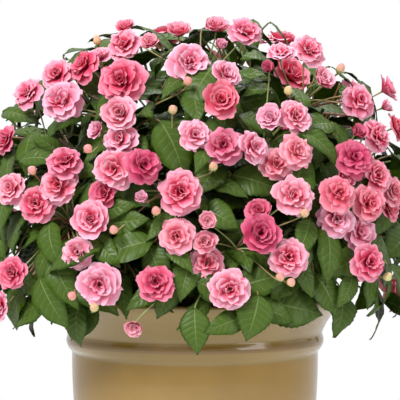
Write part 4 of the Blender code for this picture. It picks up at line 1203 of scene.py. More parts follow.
class Room:
    """What is already in place, each with an owner that may cross it, and the pot's rim to keep clear of."""

    def __init__(self):
        self.held = []
        self.rim_radius = RIM_RADIUS + RIM_CLEARANCE
        self.rim_height = POT_HEIGHT + RIM_CLEARANCE
        self.add(self.rim(), "rim")

    def rim(self):
        """The space that the rim and the ground inside it take, as a closed can."""
        points = []
        for height in (self.rim_height - RIM_DEPTH, self.rim_height):
            for k in range(RIM_SIDES):
                around = Quaternion(UP, math.tau * k / RIM_SIDES) @ Vector((self.rim_radius, 0, 0))
                points.append(around + UP * height)
        points.append(UP * self.rim_height)
        low, high = list(range(RIM_SIDES)), list(range(RIM_SIDES, 2 * RIM_SIDES))
        return points, stitch(low, high) + stitch(high, [2 * RIM_SIDES])

    def in_pot(self, point):
        return point.z < self.rim_height and point.xy.length < self.rim_radius

    def add(self, shape, owner=None):
        self.held.append((*self.ball(shape[0]), BVHTree.FromPolygons(*shape), owner))

    @staticmethod
    def ball(points):
        centre = sum(points, Vector()) / len(points)
        return centre, max((point - centre).length for point in points)

    def clear(self, shape, owner="none"):
        """Whether a shape stays out of the pot and crosses nothing but what its owner holds."""
        if any(self.in_pot(point) for point in shape[0]):
            return False
        centre, radius = self.ball(shape[0])
        tree = None
        for other_centre, other_radius, other_tree, other_owner in self.held:
            if other_owner == owner or (other_centre - centre).length > other_radius + radius:
                continue
            tree = tree or BVHTree.FromPolygons(*shape)
            if tree.overlap(other_tree):
                return False
        return True

    def clears_rim(self, line, radius):
        """Whether a stem passes over the rim's inner edge and its top."""
        inner_edge = COLLAR_RADIUS - WALL - STEM_CLEARANCE
        for start, end in zip(line[1:], line[2:]):
            for step in range(RIM_STEPS):
                point = start.lerp(end, step / RIM_STEPS)
                if point.xy.length + radius > inner_edge and self.in_pot(point - UP * radius):
                    return False
        return True


def place_stems(tips, room):
    """Arches each stem from the soil to its tip, raised or lowered until it is clear of those before it."""
    stems = []
    radii = [radius + STEM_CLEARANCE for radius in stem_radii()]
    for number, tip in enumerate(tips):
        for lift in STEM_LIFTS:
            line = stem_line(number, tip, lift)
            tube_shape = rough_tube(line[1:], radii[1:], STEM_SIDES)
            tree = BVHTree.FromPolygons(*tube_shape)
            crossed = any(tree.overlap(held[2]) for held in room.held if held[3] != "rim")
            if not crossed and room.clears_rim(line, ROUGH_STEM_RADIUS):
                break
        room.add(tube_shape, ("stem", number))
        room.add(rough_tube(spike_line(line), [SPIKE_RADIUS * 1.4] * 2, 5), ("spray", number))
        stems.append(line)
    return stems


def spike_line(stem):
    """The two ends of the spike that carries a shoot's flowers, just off the shoot's tip."""
    along = (stem[-1] - stem[-2]).normalized()
    start = stem[-1] + along * SPIKE_GAP
    return [start, start + along * SPIKE_LENGTH]


def spike_place(spike, number):
    """Where the numbered flower's stalk starts: heights spread along the spike by the golden ratio."""
    low, high = SPIKE_SHARE
    return spike[0].lerp(spike[1], low + (high - low) * (number * 0.618 % 1))


def flower_orders(draw):
    """Every bloom and bud wanted: a function of inset giving its place, then width, tone, turn and lean."""
    orders = []
    for across, up, width, tone, turn, lean in SEEN_BLOOMS:
        step = draw.uniform(-SEEN_STEP_BACK, 0.0)
        place_at = lambda d, a=across * MM, u=up * MM, s=step: in_sight(a, u, d, s)
        orders.append((place_at, width * MM, tone, turn, lean, True))
    for across, up in SEEN_BUDS:
        place_at = lambda d, a=across * MM, u=up * MM: in_sight(a, u, d)
        orders.append((place_at, BUD_ACROSS, BUD_TONE, 0, BUD_LEAN, False))
    for way in spiral(RULE_BLOOM_COUNT, RULE_BLOOM_LOWEST, 1.1):
        if way.y < RULE_BLOOM_FRONT:
            continue
        width = draw.choice(RULE_BLOOM_WIDTHS)
        tone = draw.choice(RULE_BLOOM_TONES)
        turn, lean = draw.uniform(*RULE_BLOOM_TURNS), draw.uniform(*RULE_BLOOM_LEANS)
        orders.append((lambda d, w=way: on_skin(w, d), width, tone, turn, lean, False))
    return orders


def place_flowers(spikes, room):
    """Gives each bloom to a near spike, and pushes it in until it and its stalk cross nothing."""
    draw = random.Random(11)
    flowers = []
    counts = [0] * len(spikes)
    for number, (place_at, wanted, tone, turn, lean, seen) in enumerate(flower_orders(draw)):
        for push in range(PUSH_TRIES):
            place = place_at(FLOWER_INSET + push * PUSH_STEP)
            facing = turned(outward(place), turn, lean)
            width = wanted * (place - VIEWER).length / VIEWER.length if seen else wanted
            near = sorted(range(len(spikes)), key=lambda k: (spikes[k][1] - place).length)[:3]
            base = place - facing * BLOOM_BASE_DEPTH * width / 2
            head = rough_flower(base - facing * 0.001, place, facing, width * SWOLLEN, number)
            if not room.clear(head):
                continue
            for owner in near:
                root = spike_place(spikes[owner], counts[owner])
                line = stalk_line(root + (base - root).normalized() * STALK_START, base, facing)
                stalk = rough_tube(line, [STALK_RADIUS * SWOLLEN_STALK] * len(line), 3)
                if room.clear(stalk, ("spray", owner)):
                    break
            else:
                continue
            room.add(stalk, ("spray", owner))
            room.add(head, "bloom")
            flowers.append((owner, root, place, facing, width, tone, number))
            counts[owner] += 1
            break
    return flowers


def leaf_orders(draw):
    """Every leaf wanted: functions of inset giving its foot and tip, its width, and if it is fine."""
    orders = []
    for foot_across, foot_up, tip_across, tip_up, width in SEEN_LEAVES:
        foot_at = lambda d, a=foot_across * MM, u=foot_up * MM: in_sight(a, u, d + LEAF_FOOT_INSET)
        tip_at = lambda d, a=tip_across * MM, u=tip_up * MM, f=foot_at: level_with(f(d), in_sight(a, u, d))
        orders.append((foot_at, tip_at, width * MM, True))
    for number, way in enumerate(spiral(RULE_LEAF_COUNT, RULE_LEAF_LOWEST, 0.4)):
        if way.y < RULE_LEAF_FRONT and number % 2:
            continue
        length = draw.uniform(*RULE_LEAF_LENGTHS)
        across = way.cross(UP).normalized()
        downhill = way.cross(across).normalized()
        if downhill.z > 0:
            downhill.negate()
        swing = math.radians(draw.uniform(-RULE_LEAF_SWING, RULE_LEAF_SWING))
        ahead = downhill * math.cos(swing) + across * math.sin(swing)
        shift = ahead * (length / 2 / DOME_DEPTH)
        deeper = INNER_LEAF_INSET if way.y < RULE_LEAF_FRONT else 0.0
        foot_at = lambda d, w=(way - shift).normalized(), e=deeper: on_skin(w, d + e + LEAF_FOOT_INSET)
        tip_at = lambda d, w=(way + shift).normalized(), e=deeper: on_skin(w, d + e)
        orders.append((foot_at, tip_at, length * draw.uniform(*RULE_LEAF_PROPORTIONS), False))
    return orders


def leaf_roots(stems):
    """The places inside the stems where a leaf's stalk may start, each with its stem's number."""
    roots = []
    for number, line in enumerate(stems):
        for k in range(3, len(line)):
            roots += [(line[k - 1].lerp(line[k], share), number) for share in LEAF_ROOT_SHARES]
    return roots


def place_leaves(stems, room):
    """Roots each leaf in a near stem, at the least depth and swing where it crosses nothing."""
    draw = random.Random(23)
    roots = leaf_roots(stems)
    leaves = []
    for foot_at, tip_at, width, fine in leaf_orders(draw):
        tilt = draw.uniform(0.0, 0.25)
        for inset, swing, slide in LEAF_TRIES:
            foot, tip, normal = leaf_pose(foot_at(inset), tip_at(inset), swing, slide, tilt)
            found = fitting_root(roots, room, foot, tip, normal, width, fine)
            if found:
                leaves.append((found[1], found[0], foot, tip, normal, width, fine))
                roots.remove(found)
                break
    return leaves


def leaf_pose(foot, tip, swing, slide, tilt):
    """A leaf's foot, tip and facing after it is lengthened, swung round its foot and slid back."""
    if (tip - foot).length < LEAF_SHORTEST:
        foot = tip + (foot - tip).normalized() * LEAF_SHORTEST
    normal = outward((foot + tip) / 2) + UP * tilt
    along = Quaternion(normal.normalized(), math.radians(swing)) @ (tip - foot)
    foot = foot - along.normalized() * slide
    tip = foot + along
    ahead = along.normalized()
    return foot, tip, (normal - ahead * normal.dot(ahead)).normalized()


def fitting_root(roots, room, foot, tip, normal, width, fine):
    """The first near place on a stem from which this leaf crosses nothing."""
    ahead = (tip - foot).normalized()
    behind = foot - ahead * LEAF_STALK_BEHIND - normal * LEAF_STALK_BELOW
    near = sorted(roots, key=lambda spot: (spot[0] - behind).length)[:LEAF_ROOTS_TRIED]
    for root, number in near:
        stalk = foot - root
        reachable = LEAF_STALK_SHORTEST < stalk.length < LEAF_REACH and stalk.angle(ahead) < LEAF_BEND
        if not reachable or tip.z < LEAF_LOWEST:
            continue
        start = root + stalk.normalized() * LEAF_STALK_START
        blade = (foot, tip, normal, width * LEAF_SWOLLEN, fine, SWOLLEN_THICKNESS)
        if room.clear(rough_leaf(start, *blade)):
            room.add(rough_leaf(root, *blade), "leaf")
            return root, number
    return None


def place_plant():
    """Every stem, flower and leaf: which shoot it belongs to and where it stands."""
    room = Room()
    tips = [on_skin(way, SHOOT_TIP_DEPTH) for way in spiral(SHOOT_COUNT, SHOOT_LOWEST, 0.0)]
    stems = place_stems(tips, room)
    flowers = place_flowers([spike_line(line) for line in stems], room)
    leaves = place_leaves(stems, room)
    return stems, flowers, leaves


def whole_millimetres(*points):
    """The coordinates of points in whole millimetres, one after the other."""
    return [round(part / MM) for point in points for part in point]


def facing_angles(facing):
    """A facing's azimuth and elevation in whole degrees."""
    elevation = math.asin(max(-1, min(1, facing.z)))
    return [round(math.degrees(math.atan2(facing.y, facing.x))), round(math.degrees(elevation))]


def bloom_warmth(number):
    """How far a bloom leans to coral or lilac: by SEEN_WARMTHS, or by a sine of its number."""
    for warmth, numbers in SEEN_WARMTHS.items():
        if number + 1 in numbers:
            return warmth
    return round(math.sin(number * WARMTH_TURN) * WARMTH_SPREAD, 1) + 0.0


def plant_rows():
    """Six places for each stem, from its root to its tip, a row for each bloom or bud, and one for each leaf,
    in whole millimetres and degrees."""
    stems, flowers, leaves = place_plant()
    stem_rows = [[whole_millimetres(point) for point in line] for line in stems]
    bloom_rows = []
    for owner, root, place, facing, width, tone, number in flowers:
        size = [round(width / MM), round(tone, 2), bloom_warmth(number)]
        bloom_rows.append([owner + 1, *whole_millimetres(root, place), *facing_angles(facing), *size])
    leaf_rows = []
    for owner, root, foot, tip, normal, width, _ in leaves:
        places = whole_millimetres(root, foot, tip)
        leaf_rows.append([owner + 1, *places, *facing_angles(normal), round(width / MM)])
    return stem_rows, bloom_rows, leaf_rows


# Each bloom and bud in BLOOMS: its shoot, where its stalk starts, where its rim's middle is, the way it faces
# as azimuth and elevation, its width, its tone from pale to deep, and its warmth from lilac, -1, to coral, 1.
# Each leaf in LEAVES: its shoot, where its stalk leaves the stem, its foot, its tip, its facing, its width.
STEMS, BLOOMS, LEAVES = plant_rows()


# Stems and leaves

STEM_RADIUS = 4.3
STEM_TIP_RADIUS = 2.2
STEM_STEPS = 7
STEM_RING = 9
KNOT_SPACING = 0.036
KNOT_SWELLING = 0.22
KNOT_SHARPNESS = 0.012
PETIOLE_RADIUS = 0.00105
PETIOLE_STEPS = 7
PETIOLE_RING = 5
PETIOLE_ARRIVAL = 0.006
STALK_RISE_DEPTH = 0.06
DOME_REACH = np.array([DOME_ACROSS, DOME_FRONT, DOME_RISE])


def depth_in_dome(points):
    """How far points lie under the dome's skin: (1 - (|x/a|^n + |y/b|^n + |z/c|^n)^(1/n)) times its depth."""
    offset = points - DOME_CENTRE
    reach = np.broadcast_to(DOME_REACH, offset.shape).copy()
    reach[..., 2] = np.where(offset[..., 2] > 0, DOME_REACH[2], DOME_HANG)
    full = (np.abs(offset / reach) ** DOME_SQUARENESS).sum(-1) ** (1 / DOME_SQUARENESS)
    return (1 - full) * DOME_DEPTH


# A blade's relief. A pair is a least value and what each leaf's own chance adds to it
BLADE_ARCH = (0.055, 0.09)
BLADE_DROOP = (0.02, 0.10)
BLADE_FOLD = (0.10, 0.22)
BLADE_SAG = 0.16
BLADE_TWIST = 0.5
BLADE_CURL = 0.16
TEETH = 0.028
DETAILED_ROWS = 12
SWELLS = 8
SWELL_SWEEP = 0.16
SWELL_HEIGHT = 0.00035
LONG_WAVE = (0.028, 1.6)
SHORT_WAVE = (0.018, 3.1)
NARROWEST = 0.0006


def add_blades(shape, feet, tips, normals, widths, chance, rows, columns, thickness):
    """Adds leaf blades. Over the chord from foot to tip the midrib arches as 4 r (1 - r), and droops as r^3.
    Across it the halves fold up as |side|, sag again near the margin, swell between the side veins and
    wave along the margin. The margin's teeth are a zigzag of the width."""
    chord = tips - feet
    length = np.linalg.norm(chord, axis=-1)[:, None, None]
    along = unit(chord)
    over = unit(normals - along * (normals * along).sum(-1, keepdims=True))
    across = np.cross(along, over)
    run = np.linspace(0, 1, rows)[None, :, None]
    side = np.linspace(-1, 1, columns)[None, None, :]
    seeds = np.stack([chance, (chance * 7.31) % 1, (chance * 13.7) % 1, (chance * 29.3) % 1])[..., None, None]
    detailed = rows > DETAILED_ROWS
    teeth = 1 + TEETH * np.where(np.arange(rows) % 2, 1, -1)[None, :, None] * detailed
    half = np.maximum(blade_half_width(run) * teeth * widths[:, None, None] / 2, NARROWEST)
    arch = (BLADE_ARCH[0] + BLADE_ARCH[1] * seeds[1]) * 4 * run * (1 - run)
    arch = arch - (BLADE_DROOP[0] + BLADE_DROOP[1] * seeds[2]) * run**3
    fold = (BLADE_FOLD[0] + BLADE_FOLD[1] * seeds[3]) * np.abs(side) - BLADE_SAG * side**2
    swell = SWELL_HEIGHT * np.abs(np.sin(math.pi * SWELLS * (run - SWELL_SWEEP * np.abs(side))))
    swell = swell * (1 - np.abs(side)) * detailed
    wave = LONG_WAVE[0] * np.sin(math.tau * (LONG_WAVE[1] * run + seeds[0])) * np.sign(side) * side**2
    wave = wave + SHORT_WAVE[0] * np.sin(math.tau * (SHORT_WAVE[1] * run + seeds[2])) * side**4
    twist = (seeds[0] - 0.5) * BLADE_TWIST * run * side
    height = (arch + wave) * length + (fold + twist) * half + swell
    curl = (seeds[2] - 0.5) * BLADE_CURL * run**2 * length
    grid = (
        feet[:, None, None]
        + along[:, None, None] * (run * length)[..., None] * np.ones((1, 1, columns, 1))
        + across[:, None, None] * (half * side * (1 - 0.12 * np.abs(fold)) + curl)[..., None]
        + over[:, None, None] * height[..., None]
    )
    blade = np.stack([np.broadcast_to(values, grid.shape[:3]) for values in (side, run, seeds[0])], -1)
    thin_shells(shape, grid[:, :, ::-1], thickness, 0, blade=blade[:, :, ::-1])


def add_petioles(shape, roots, feet, tips, chance):
    """Adds leaf stalks: cubic curves that leave the stem sideways, rise where it lies deep, and arrive along
    the blade."""
    span = np.linalg.norm(feet - roots, axis=-1, keepdims=True)
    along = unit(tips - feet)
    buried = np.clip(depth_in_dome(roots) / STALK_RISE_DEPTH, 0, 1)[:, None]
    rise = np.array([[0.0, 0.0, 0.25]]) * np.minimum(span, 0.03) * buried
    arrive = feet - along * np.minimum(span * 0.4, PETIOLE_ARRIVAL)
    leave = roots + (feet - roots) * 0.35 + rise
    lines = bezier(roots, leave, arrive, feet + along * 0.002, PETIOLE_STEPS)
    taper = np.linspace(1.25, 0.75, lines.shape[1])[None] * PETIOLE_RADIUS * np.ones((len(roots), 1))
    tubes(shape, lines, taper, PETIOLE_RING, 1, stalk=stalk_values(lines, chance))


def stalk_values(lines, chance):
    """How far along its tube, how far up, and a number of its own, for every ring."""
    run = np.broadcast_to(np.linspace(0, 1, lines.shape[1])[None], lines.shape[:2])
    return np.stack([run, lines[..., 2], np.broadcast_to(chance[:, None], lines.shape[:2])], -1)


def add_stem(shape, line, chance):
    """Adds a stem that tapers evenly to its tip, and swells as exp(-x^2) to a knot every few centimetres."""
    run = np.concatenate([[0], np.cumsum(np.linalg.norm(np.diff(line, axis=0), axis=-1))])
    taper = (STEM_RADIUS + (STEM_TIP_RADIUS - STEM_RADIUS) * run / run[-1]) * MM
    apart = (run % KNOT_SPACING) / KNOT_SPACING - 0.5
    radii = taper * (1 + KNOT_SWELLING * np.exp(-(apart**2) / KNOT_SHARPNESS))
    tubes(shape, line[None], radii[None], STEM_RING, 1, stalk=stalk_values(line[None], np.array([chance])))


TOWARDS_VIEW = 0.55
# Blooms that lean to the viewer stand before this place, in millimetres, and face up by over these degrees
LEANING_BEFORE = -20
LEANING_ABOVE = 20


def bloom_facings(table):
    """The way each bloom looks. Those on the front lean towards the viewer by a share of their own length."""
    front = (table[:, 5] < LEANING_BEFORE) & (table[:, 8] > LEANING_ABOVE)
    return unit(heading(table[:, 7], table[:, 8]) - front[:, None] * [0, TOWARDS_VIEW, 0])


def as_seen(points):
    """Where points show in the picture, measured across and up on the plane of the pot's middle."""
    across = np.array([EYE[0], EYE[2]])
    return across + (points[..., [0, 2]] - across) * (-EYE[1] / (points[..., 1:2] - EYE[1]))


def hides_bloom(spine, blooms, sizes):
    """Whether a leaf's middle line passes in front of a bloom on the near side."""
    apart = np.linalg.norm(as_seen(spine)[:, None] - as_seen(blooms)[None], axis=-1) - sizes[None] * 1.1
    nearer = spine[:, None, 1] < blooms[None, :, 1]
    return bool(((apart < 0) & nearer & (blooms[None, :, 1] < 0)).any())


def bloom_balls():
    """The middles and the radii of all blooms and buds."""
    table = np.array(BLOOMS, float)
    return table[:, 4:7] * MM, table[:, 9] * MM / 2


def leaf_middles():
    """The middle of each of the frame's leaves, halfway from its foot to its tip."""
    return [(np.array(row[4:7]) + np.array(row[7:10])) * MM / 2 for row in LEAVES]


def in_pot(spine, clearance):
    """Whether a leaf's middle line enters the pot's mouth or comes within a clearance of its rim."""
    low = spine[:, 2] < POT_HEIGHT + clearance
    return bool((low & (np.hypot(spine[:, 0], spine[:, 1]) < RIM_RADIUS + clearance)).any())


# Leaves inside the plant: how many a shoot, the share of the stem that carries them, tries at each, and the
# ranges that their sizes and ways are drawn from
INNER_PER_SHOOT = 27
INNER_FROM = 0.42
INNER_TO = 0.99
INNER_TRIES = 7
INNER_LENGTHS = (0.036, 0.064)
INNER_WIDTHS = (0.48, 0.62)
INNER_STALKS = (0.010, 0.026)
INNER_RISE = 0.004
INNER_DROOPS = (0.05, 0.75)
INNER_INSET = 0.007
INNER_GAP = 0.0105
INNER_CLEARANCE = 0.006
BLOOM_GAP = 0.001
HIDING_SHARE = 0.8


def inner_leaves(lines):
    """Leaves that fill the plant behind those of the frame: they stand in a spiral up each stem, point out
    and hang a little. One is left out where it would leave the dome, enter the pot or touch a bloom."""
    draw = np.random.default_rng(31)
    blooms, sizes = bloom_balls()
    middles = leaf_middles()
    kept = []
    for number, line in enumerate(lines):
        for k in range(INNER_PER_SHOOT):
            step = (k + draw.uniform(0.2, 0.8)) / INNER_PER_SHOOT
            share = INNER_FROM + (INNER_TO - INNER_FROM) * step
            root = line[int(share * (len(line) - 1))]
            away = unit((root - DOME_CENTRE) * [1, 1, 0.6])
            for attempt in range(INNER_TRIES):
                angle = k * GOLDEN_TURN + attempt * 1.1 + draw.uniform(-0.4, 0.4)
                level = np.array([math.cos(angle), math.sin(angle), 0.0])
                way = unit(level + away * draw.uniform(0.3, 1.1) + [0, 0, draw.uniform(-0.25, 0.35)])
                length = draw.uniform(*INNER_LENGTHS)
                foot = root + way * draw.uniform(*INNER_STALKS) + [0, 0, INNER_RISE]
                tip = foot + unit(way - [0, 0, draw.uniform(*INNER_DROOPS)]) * length
                spine = foot + (tip - foot) * np.linspace(0.1, 1, 5)[:, None]
                gap = np.linalg.norm(spine[:, None] - blooms[None], axis=-1) - sizes[None]
                middle = spine[2]
                near = min(np.linalg.norm(middle - other) for other in middles)
                hidden = hides_bloom(spine, blooms, sizes * HIDING_SHARE)
                outside = depth_in_dome(spine).min() < INNER_INSET or in_pot(spine, INNER_CLEARANCE)
                if outside or gap.min() < BLOOM_GAP or near < INNER_GAP or hidden:
                    continue
                normal = unit(away * 0.9 + [0, 0, draw.uniform(0.35, 1.1)])
                width = length * draw.uniform(*INNER_WIDTHS)
                kept.append((number, root, foot, tip, normal, width, draw.uniform()))
                middles.append(middle)
                break
    return kept


# Leaves that close the outline: the places tried, from the top down to the lowest rise, how deep and how far
# from a leaf or a stem they may be, and the ranges that their sizes and ways are drawn from
SKIN_POINTS = 520
SKIN_LOWEST_RISE = -0.42
SKIN_DEPTHS = (0.010, 0.030)
SKIN_LENGTHS = (0.040, 0.062)
SKIN_WIDTHS = (0.50, 0.62)
SKIN_DROOPS = (0.3, 1.2)
SKIN_FOOT = -0.45
SKIN_TIP = 0.55
SKIN_INSET = 0.002
SKIN_GAP = 0.019
SKIN_REACH = 0.085
SKIN_LOWEST = 0.222
SKIN_CLEARANCE = 0.008
BLOOM_MARGIN = 1.05
BLOOM_FORWARD = 0.004


def skin_leaves(lines, kept):
    """Leaves that close the plant's outline. Points lie evenly over the dome by the golden angle, a little
    under its skin. Each gets a leaf on a long stalk from the nearest stem, if no bloom or leaf is there."""
    draw = np.random.default_rng(57)
    blooms, sizes = bloom_balls()
    middles = leaf_middles() + [(row[2] + row[3]) / 2 for row in kept]
    stems = np.concatenate([line[len(line) // 2 :] for line in lines])
    owners = np.repeat(np.arange(len(lines)), [len(line) - len(line) // 2 for line in lines])
    added = []
    for k in range(SKIN_POINTS):
        rise = 1 - (1 - SKIN_LOWEST_RISE) * (k + 0.5) / SKIN_POINTS
        level = math.sqrt(1 - rise * rise)
        away = np.array([level * math.cos(k * GOLDEN_TURN), level * math.sin(k * GOLDEN_TURN), rise])
        skin = 1 - depth_in_dome(DOME_CENTRE + away) / DOME_DEPTH
        middle = DOME_CENTRE + away * (1 - draw.uniform(*SKIN_DEPTHS) / DOME_DEPTH) / skin
        turn = unit(np.cross(away, draw.normal(size=3)))
        along = unit(turn + [0, 0, -draw.uniform(*SKIN_DROOPS)] + away * draw.uniform(-0.1, 0.25))
        length = draw.uniform(*SKIN_LENGTHS)
        spine = middle + along * length * np.linspace(SKIN_FOOT, 0.5, 5)[:, None]
        apart = np.linalg.norm(spine[:, None] - blooms[None] - away * BLOOM_FORWARD, axis=-1)
        gap = (apart - sizes[None] * BLOOM_MARGIN).min()
        low = in_pot(spine, SKIN_CLEARANCE) or spine[:, 2].min() < SKIN_LOWEST
        near = min(np.linalg.norm(middle - other) for other in middles)
        far = np.linalg.norm(stems - spine[0], axis=-1)
        root = int(far.argmin())
        outside = depth_in_dome(spine).min() < SKIN_INSET
        if outside or low or gap < 0 or near < SKIN_GAP or far[root] > SKIN_REACH:
            continue
        if depth_in_dome(stems[root]) < depth_in_dome(spine[0]) or hides_bloom(spine, blooms, sizes):
            continue
        normal = unit(away + [0, 0, draw.uniform(0.1, 0.6)])
        width = length * draw.uniform(*SKIN_WIDTHS)
        tip = middle + along * length * SKIN_TIP
        added.append((owners[root], stems[root], spine[0], tip, normal, width, draw.uniform()))
        middles.append(middle)
    return added


# Points along and across a blade: of the frame's leaves, of those near the skin, and of those inside
OWN_GRID = (23, 11)
SKIN_GRID = (12, 7)
INNER_GRID = (9, 5)


def make_shoots(sizes):
    """One piece a shoot: its stem, the frame's leaves on it in full detail, and the leaves round them."""
    leaf = leaf_material("leaf_satin", sizes.dark_colour, sizes.light_colour, sizes.under_colour)
    stem = stalk_material("stem_green", (0.16, 0.21, 0.055), (0.30, 0.12, 0.06))
    lines = curve_through(np.array(STEMS, float) * MM, STEM_STEPS)
    inner = inner_leaves(lines)
    groups = ((inner, INNER_GRID), (skin_leaves(lines, inner), SKIN_GRID))
    draw = np.random.default_rng(3)
    for number, line in enumerate(lines):
        shape = Shape()
        add_stem(shape, line, draw.uniform())
        own = np.array([row for row in LEAVES if row[0] == number + 1], float)
        chance = draw.uniform(size=len(own))
        if len(own):
            roots, feet, tips = own[:, 1:4] * MM, own[:, 4:7] * MM, own[:, 7:10] * MM
            normals = heading(own[:, 10], own[:, 11])
            add_blades(shape, feet, tips, normals, own[:, 12] * MM, chance, *OWN_GRID, sizes.thickness)
            add_petioles(shape, roots, feet, tips, chance)
        for leaves, grid in groups:
            more = [row for row in leaves if row[0] == number]
            if not more:
                continue
            roots, feet, tips, normals = (np.array([row[k] for row in more]) for k in (1, 2, 3, 4))
            widths, chance = (np.array([row[k] for row in more]) for k in (5, 6))
            add_blades(shape, feet, tips, normals, widths, chance, *grid, sizes.thickness)
            add_petioles(shape, roots, feet, tips, chance)
        name = f"leafy_shoot_{number + 1:02d}"
        shape.make(f"shoot_{number + 1:02d}", "leaf_green", [leaf, stem], [name])


# Blooms

BUD_WIDTH = 12.0
BLOOM_BASE = 0.42
# A double bloom's whorls from the outside in, as shares of its radius, and angles from its plane in degrees:
# petals, length, half width, angle at the foot, angle at the tip, cup, ruffle
WHORLS = (
    (5, 1.10, 0.62, 28, -22, 0.50, 0.050),
    (5, 1.02, 0.54, 48, -2, 0.75, 0.060),
    (5, 0.92, 0.44, 64, 24, 1.05, 0.075),
    (4, 0.80, 0.37, 74, 50, 1.25, 0.095),
    (3, 0.62, 0.29, 80, 80, 1.30, 0.090),
)
# A bloom of the greatest width or more is fully open. A share of them all is cupped by a part of its openness
OPEN_WIDTHS = (17, 32)
LEAST_OPEN = 0.15
CUPPED_SHARE = 0.20
CUPPED = 0.40
UPRIGHT = 86
PETAL_ROWS = 7
PETAL_COLUMNS = 9
PETAL_END = 0.25
NOTCH = (0.06, 0.28)
FRILLS = (0.028, 0.030)


def petal_grids(radius, openness, draw):
    """Petals of one bloom in its own frame, facing +Z with its rim near 0. The middle line's angle goes
    evenly from foot to tip. Across it a petal is an arc of its cup's angle, ruffled by sines that grow
    towards the margin, and its outline is sin-shaped with a round, slightly notched end."""
    whorls = [[k / (len(WHORLS) - 1), *row] for k, row in enumerate(WHORLS)]
    table = []
    for layer, count, length, half, low, high, cup, ruffle in whorls:
        for k in range(count):
            turn = math.tau * (k + 0.5 * (layer * 4 % 2)) / count + draw.normal(0, 0.10)
            sizes = [length * draw.uniform(0.90, 1.06), half * draw.uniform(0.88, 1.12)]
            sizes.append(low + (1 - openness) * 20 + draw.normal(0, 4))
            sizes.append(high + (1 - openness) * (UPRIGHT - high) + draw.normal(0, 11))
            sizes += [cup * draw.uniform(0.7, 1.3), ruffle * draw.uniform(0.5, 1.5)]
            table.append([layer, turn, *sizes, *draw.uniform(0, math.tau, 4)])
    layer, turn, length, half, low, high, cup, ruffle, *phase = (
        column[:, None, None] for column in np.array(table).T
    )
    v = np.linspace(0, 1, PETAL_ROWS)[None, :, None]
    u = np.linspace(-1, 1, PETAL_COLUMNS)[None, None, :]
    angle = np.radians(low + (high - low) * v - 14 * v**4 * np.cos(phase[0]))
    step = 1 / (PETAL_ROWS - 1)
    out = np.cumsum(np.cos(angle), axis=1) * step - np.cos(angle[:, :1]) * step
    rise = np.cumsum(np.sin(angle), axis=1) * step - np.sin(angle[:, :1]) * step
    notch = NOTCH[0] * np.exp(-((u / NOTCH[1]) ** 2))
    margin = 1 - PETAL_END * u**2 - notch + 0.025 * np.sin(4 * u + phase[1])
    frill = draw.normal(0, 1, (2, len(table), 1, PETAL_COLUMNS)) * v**5
    margin = margin + FRILLS[0] * frill[0]
    spread = half * (0.16 + 0.84 * np.sin(math.pi * 0.60 * v**0.9)) * (1 - 0.14 * v**6 * u**2)
    bend = cup * u
    sideways = spread * np.sin(bend) / cup
    lift = spread * (1 - np.cos(bend)) / cup
    waves = 1.2 * np.sin(3.0 * u + phase[2]) * np.abs(u) + 0.45 * np.sin(5.2 * u + phase[3] + 2 * v)
    lift = lift + ruffle * v**1.4 * waves + FRILLS[1] * frill[1]
    sideways = sideways + 0.5 * ruffle * v**2 * np.sin(5.0 * v + phase[1])
    foot = 0.05 + 0.03 * np.cos(phase[3])
    reach = foot + length * out * margin - np.sin(angle) * lift
    height = -BLOOM_BASE + length * rise * margin + np.cos(angle) * lift
    across = reach * np.cos(turn) - sideways * np.sin(turn)
    along = reach * np.sin(turn) + sideways * np.cos(turn)
    grid = np.stack([across, along, height], -1)
    shown = [np.broadcast_to(values, grid.shape[:3]) for values in (v, u, layer)]
    chance = np.broadcast_to((phase[0] / math.tau), grid.shape[:3])
    return grid * radius, np.stack(shown, -1), chance


def frame_of(facing, spin):
    """Two unit vectors across a facing, turned by spin, as rows of a matrix with the facing as its third."""
    side = unit(np.cross(facing, [0.0, 0.0, 1.0] if abs(facing[2]) < 0.95 else [1.0, 0.0, 0.0]))
    over = np.cross(facing, side)
    pair = side * math.cos(spin) + over * math.sin(spin), over * math.cos(spin) - side * math.sin(spin)
    return np.stack([*pair, facing])


def add_bloom(shape, place, facing, width, tone, warmth, seed, thickness):
    """A double bloom: its petals' grids turned to its facing, and each given a thickness."""
    draw = np.random.default_rng(seed)
    shut, wide = OPEN_WIDTHS
    openness = np.clip((width - shut) / (wide - shut), LEAST_OPEN, 1.0)
    openness *= 1 - CUPPED * (draw.uniform() < CUPPED_SHARE)
    grid, petal, chance = petal_grids(width / 2 * MM, openness, draw)
    grid = grid @ frame_of(facing, draw.uniform(0, math.tau)) + place
    tones = np.stack([np.full_like(chance, tone), np.full_like(chance, warmth), chance], -1)
    thin_shells(shape, grid, thickness, 0, petal=petal, bloom=tones)


SEPAL_LENGTH = 0.42
SEPAL_WIDTH = 0.22
SEPAL_GRID = (6, 5)
SEPAL_THICKNESS = 0.0003
BUD_LENGTH = 0.0115
BUD_GIRTH = 0.0080
BUD_SEPALS = 0.009


def add_sepals(shape, base, facing, radius, seed):
    """Three small pointed sepals at the back of a bloom: ovals that lean out from its base."""
    draw = np.random.default_rng(seed + 500)
    turn = draw.uniform(0, math.tau) + np.arange(3) * math.tau / 3
    axes = frame_of(facing, 0.0)
    level = np.cos(turn)[:, None] * axes[0] + np.sin(turn)[:, None] * axes[1]
    feet = base + level * 0.0006 - facing * 0.0012
    tips = feet + (level * 0.75 + facing * 0.66) * max(radius * SEPAL_LENGTH, 0.0045)
    normals = facing * 0.75 - level * 0.66
    widths = np.full(3, max(radius * SEPAL_WIDTH, 0.0026))
    add_blades(shape, feet, tips, normals, widths, draw.uniform(size=3), *SEPAL_GRID, SEPAL_THICKNESS)


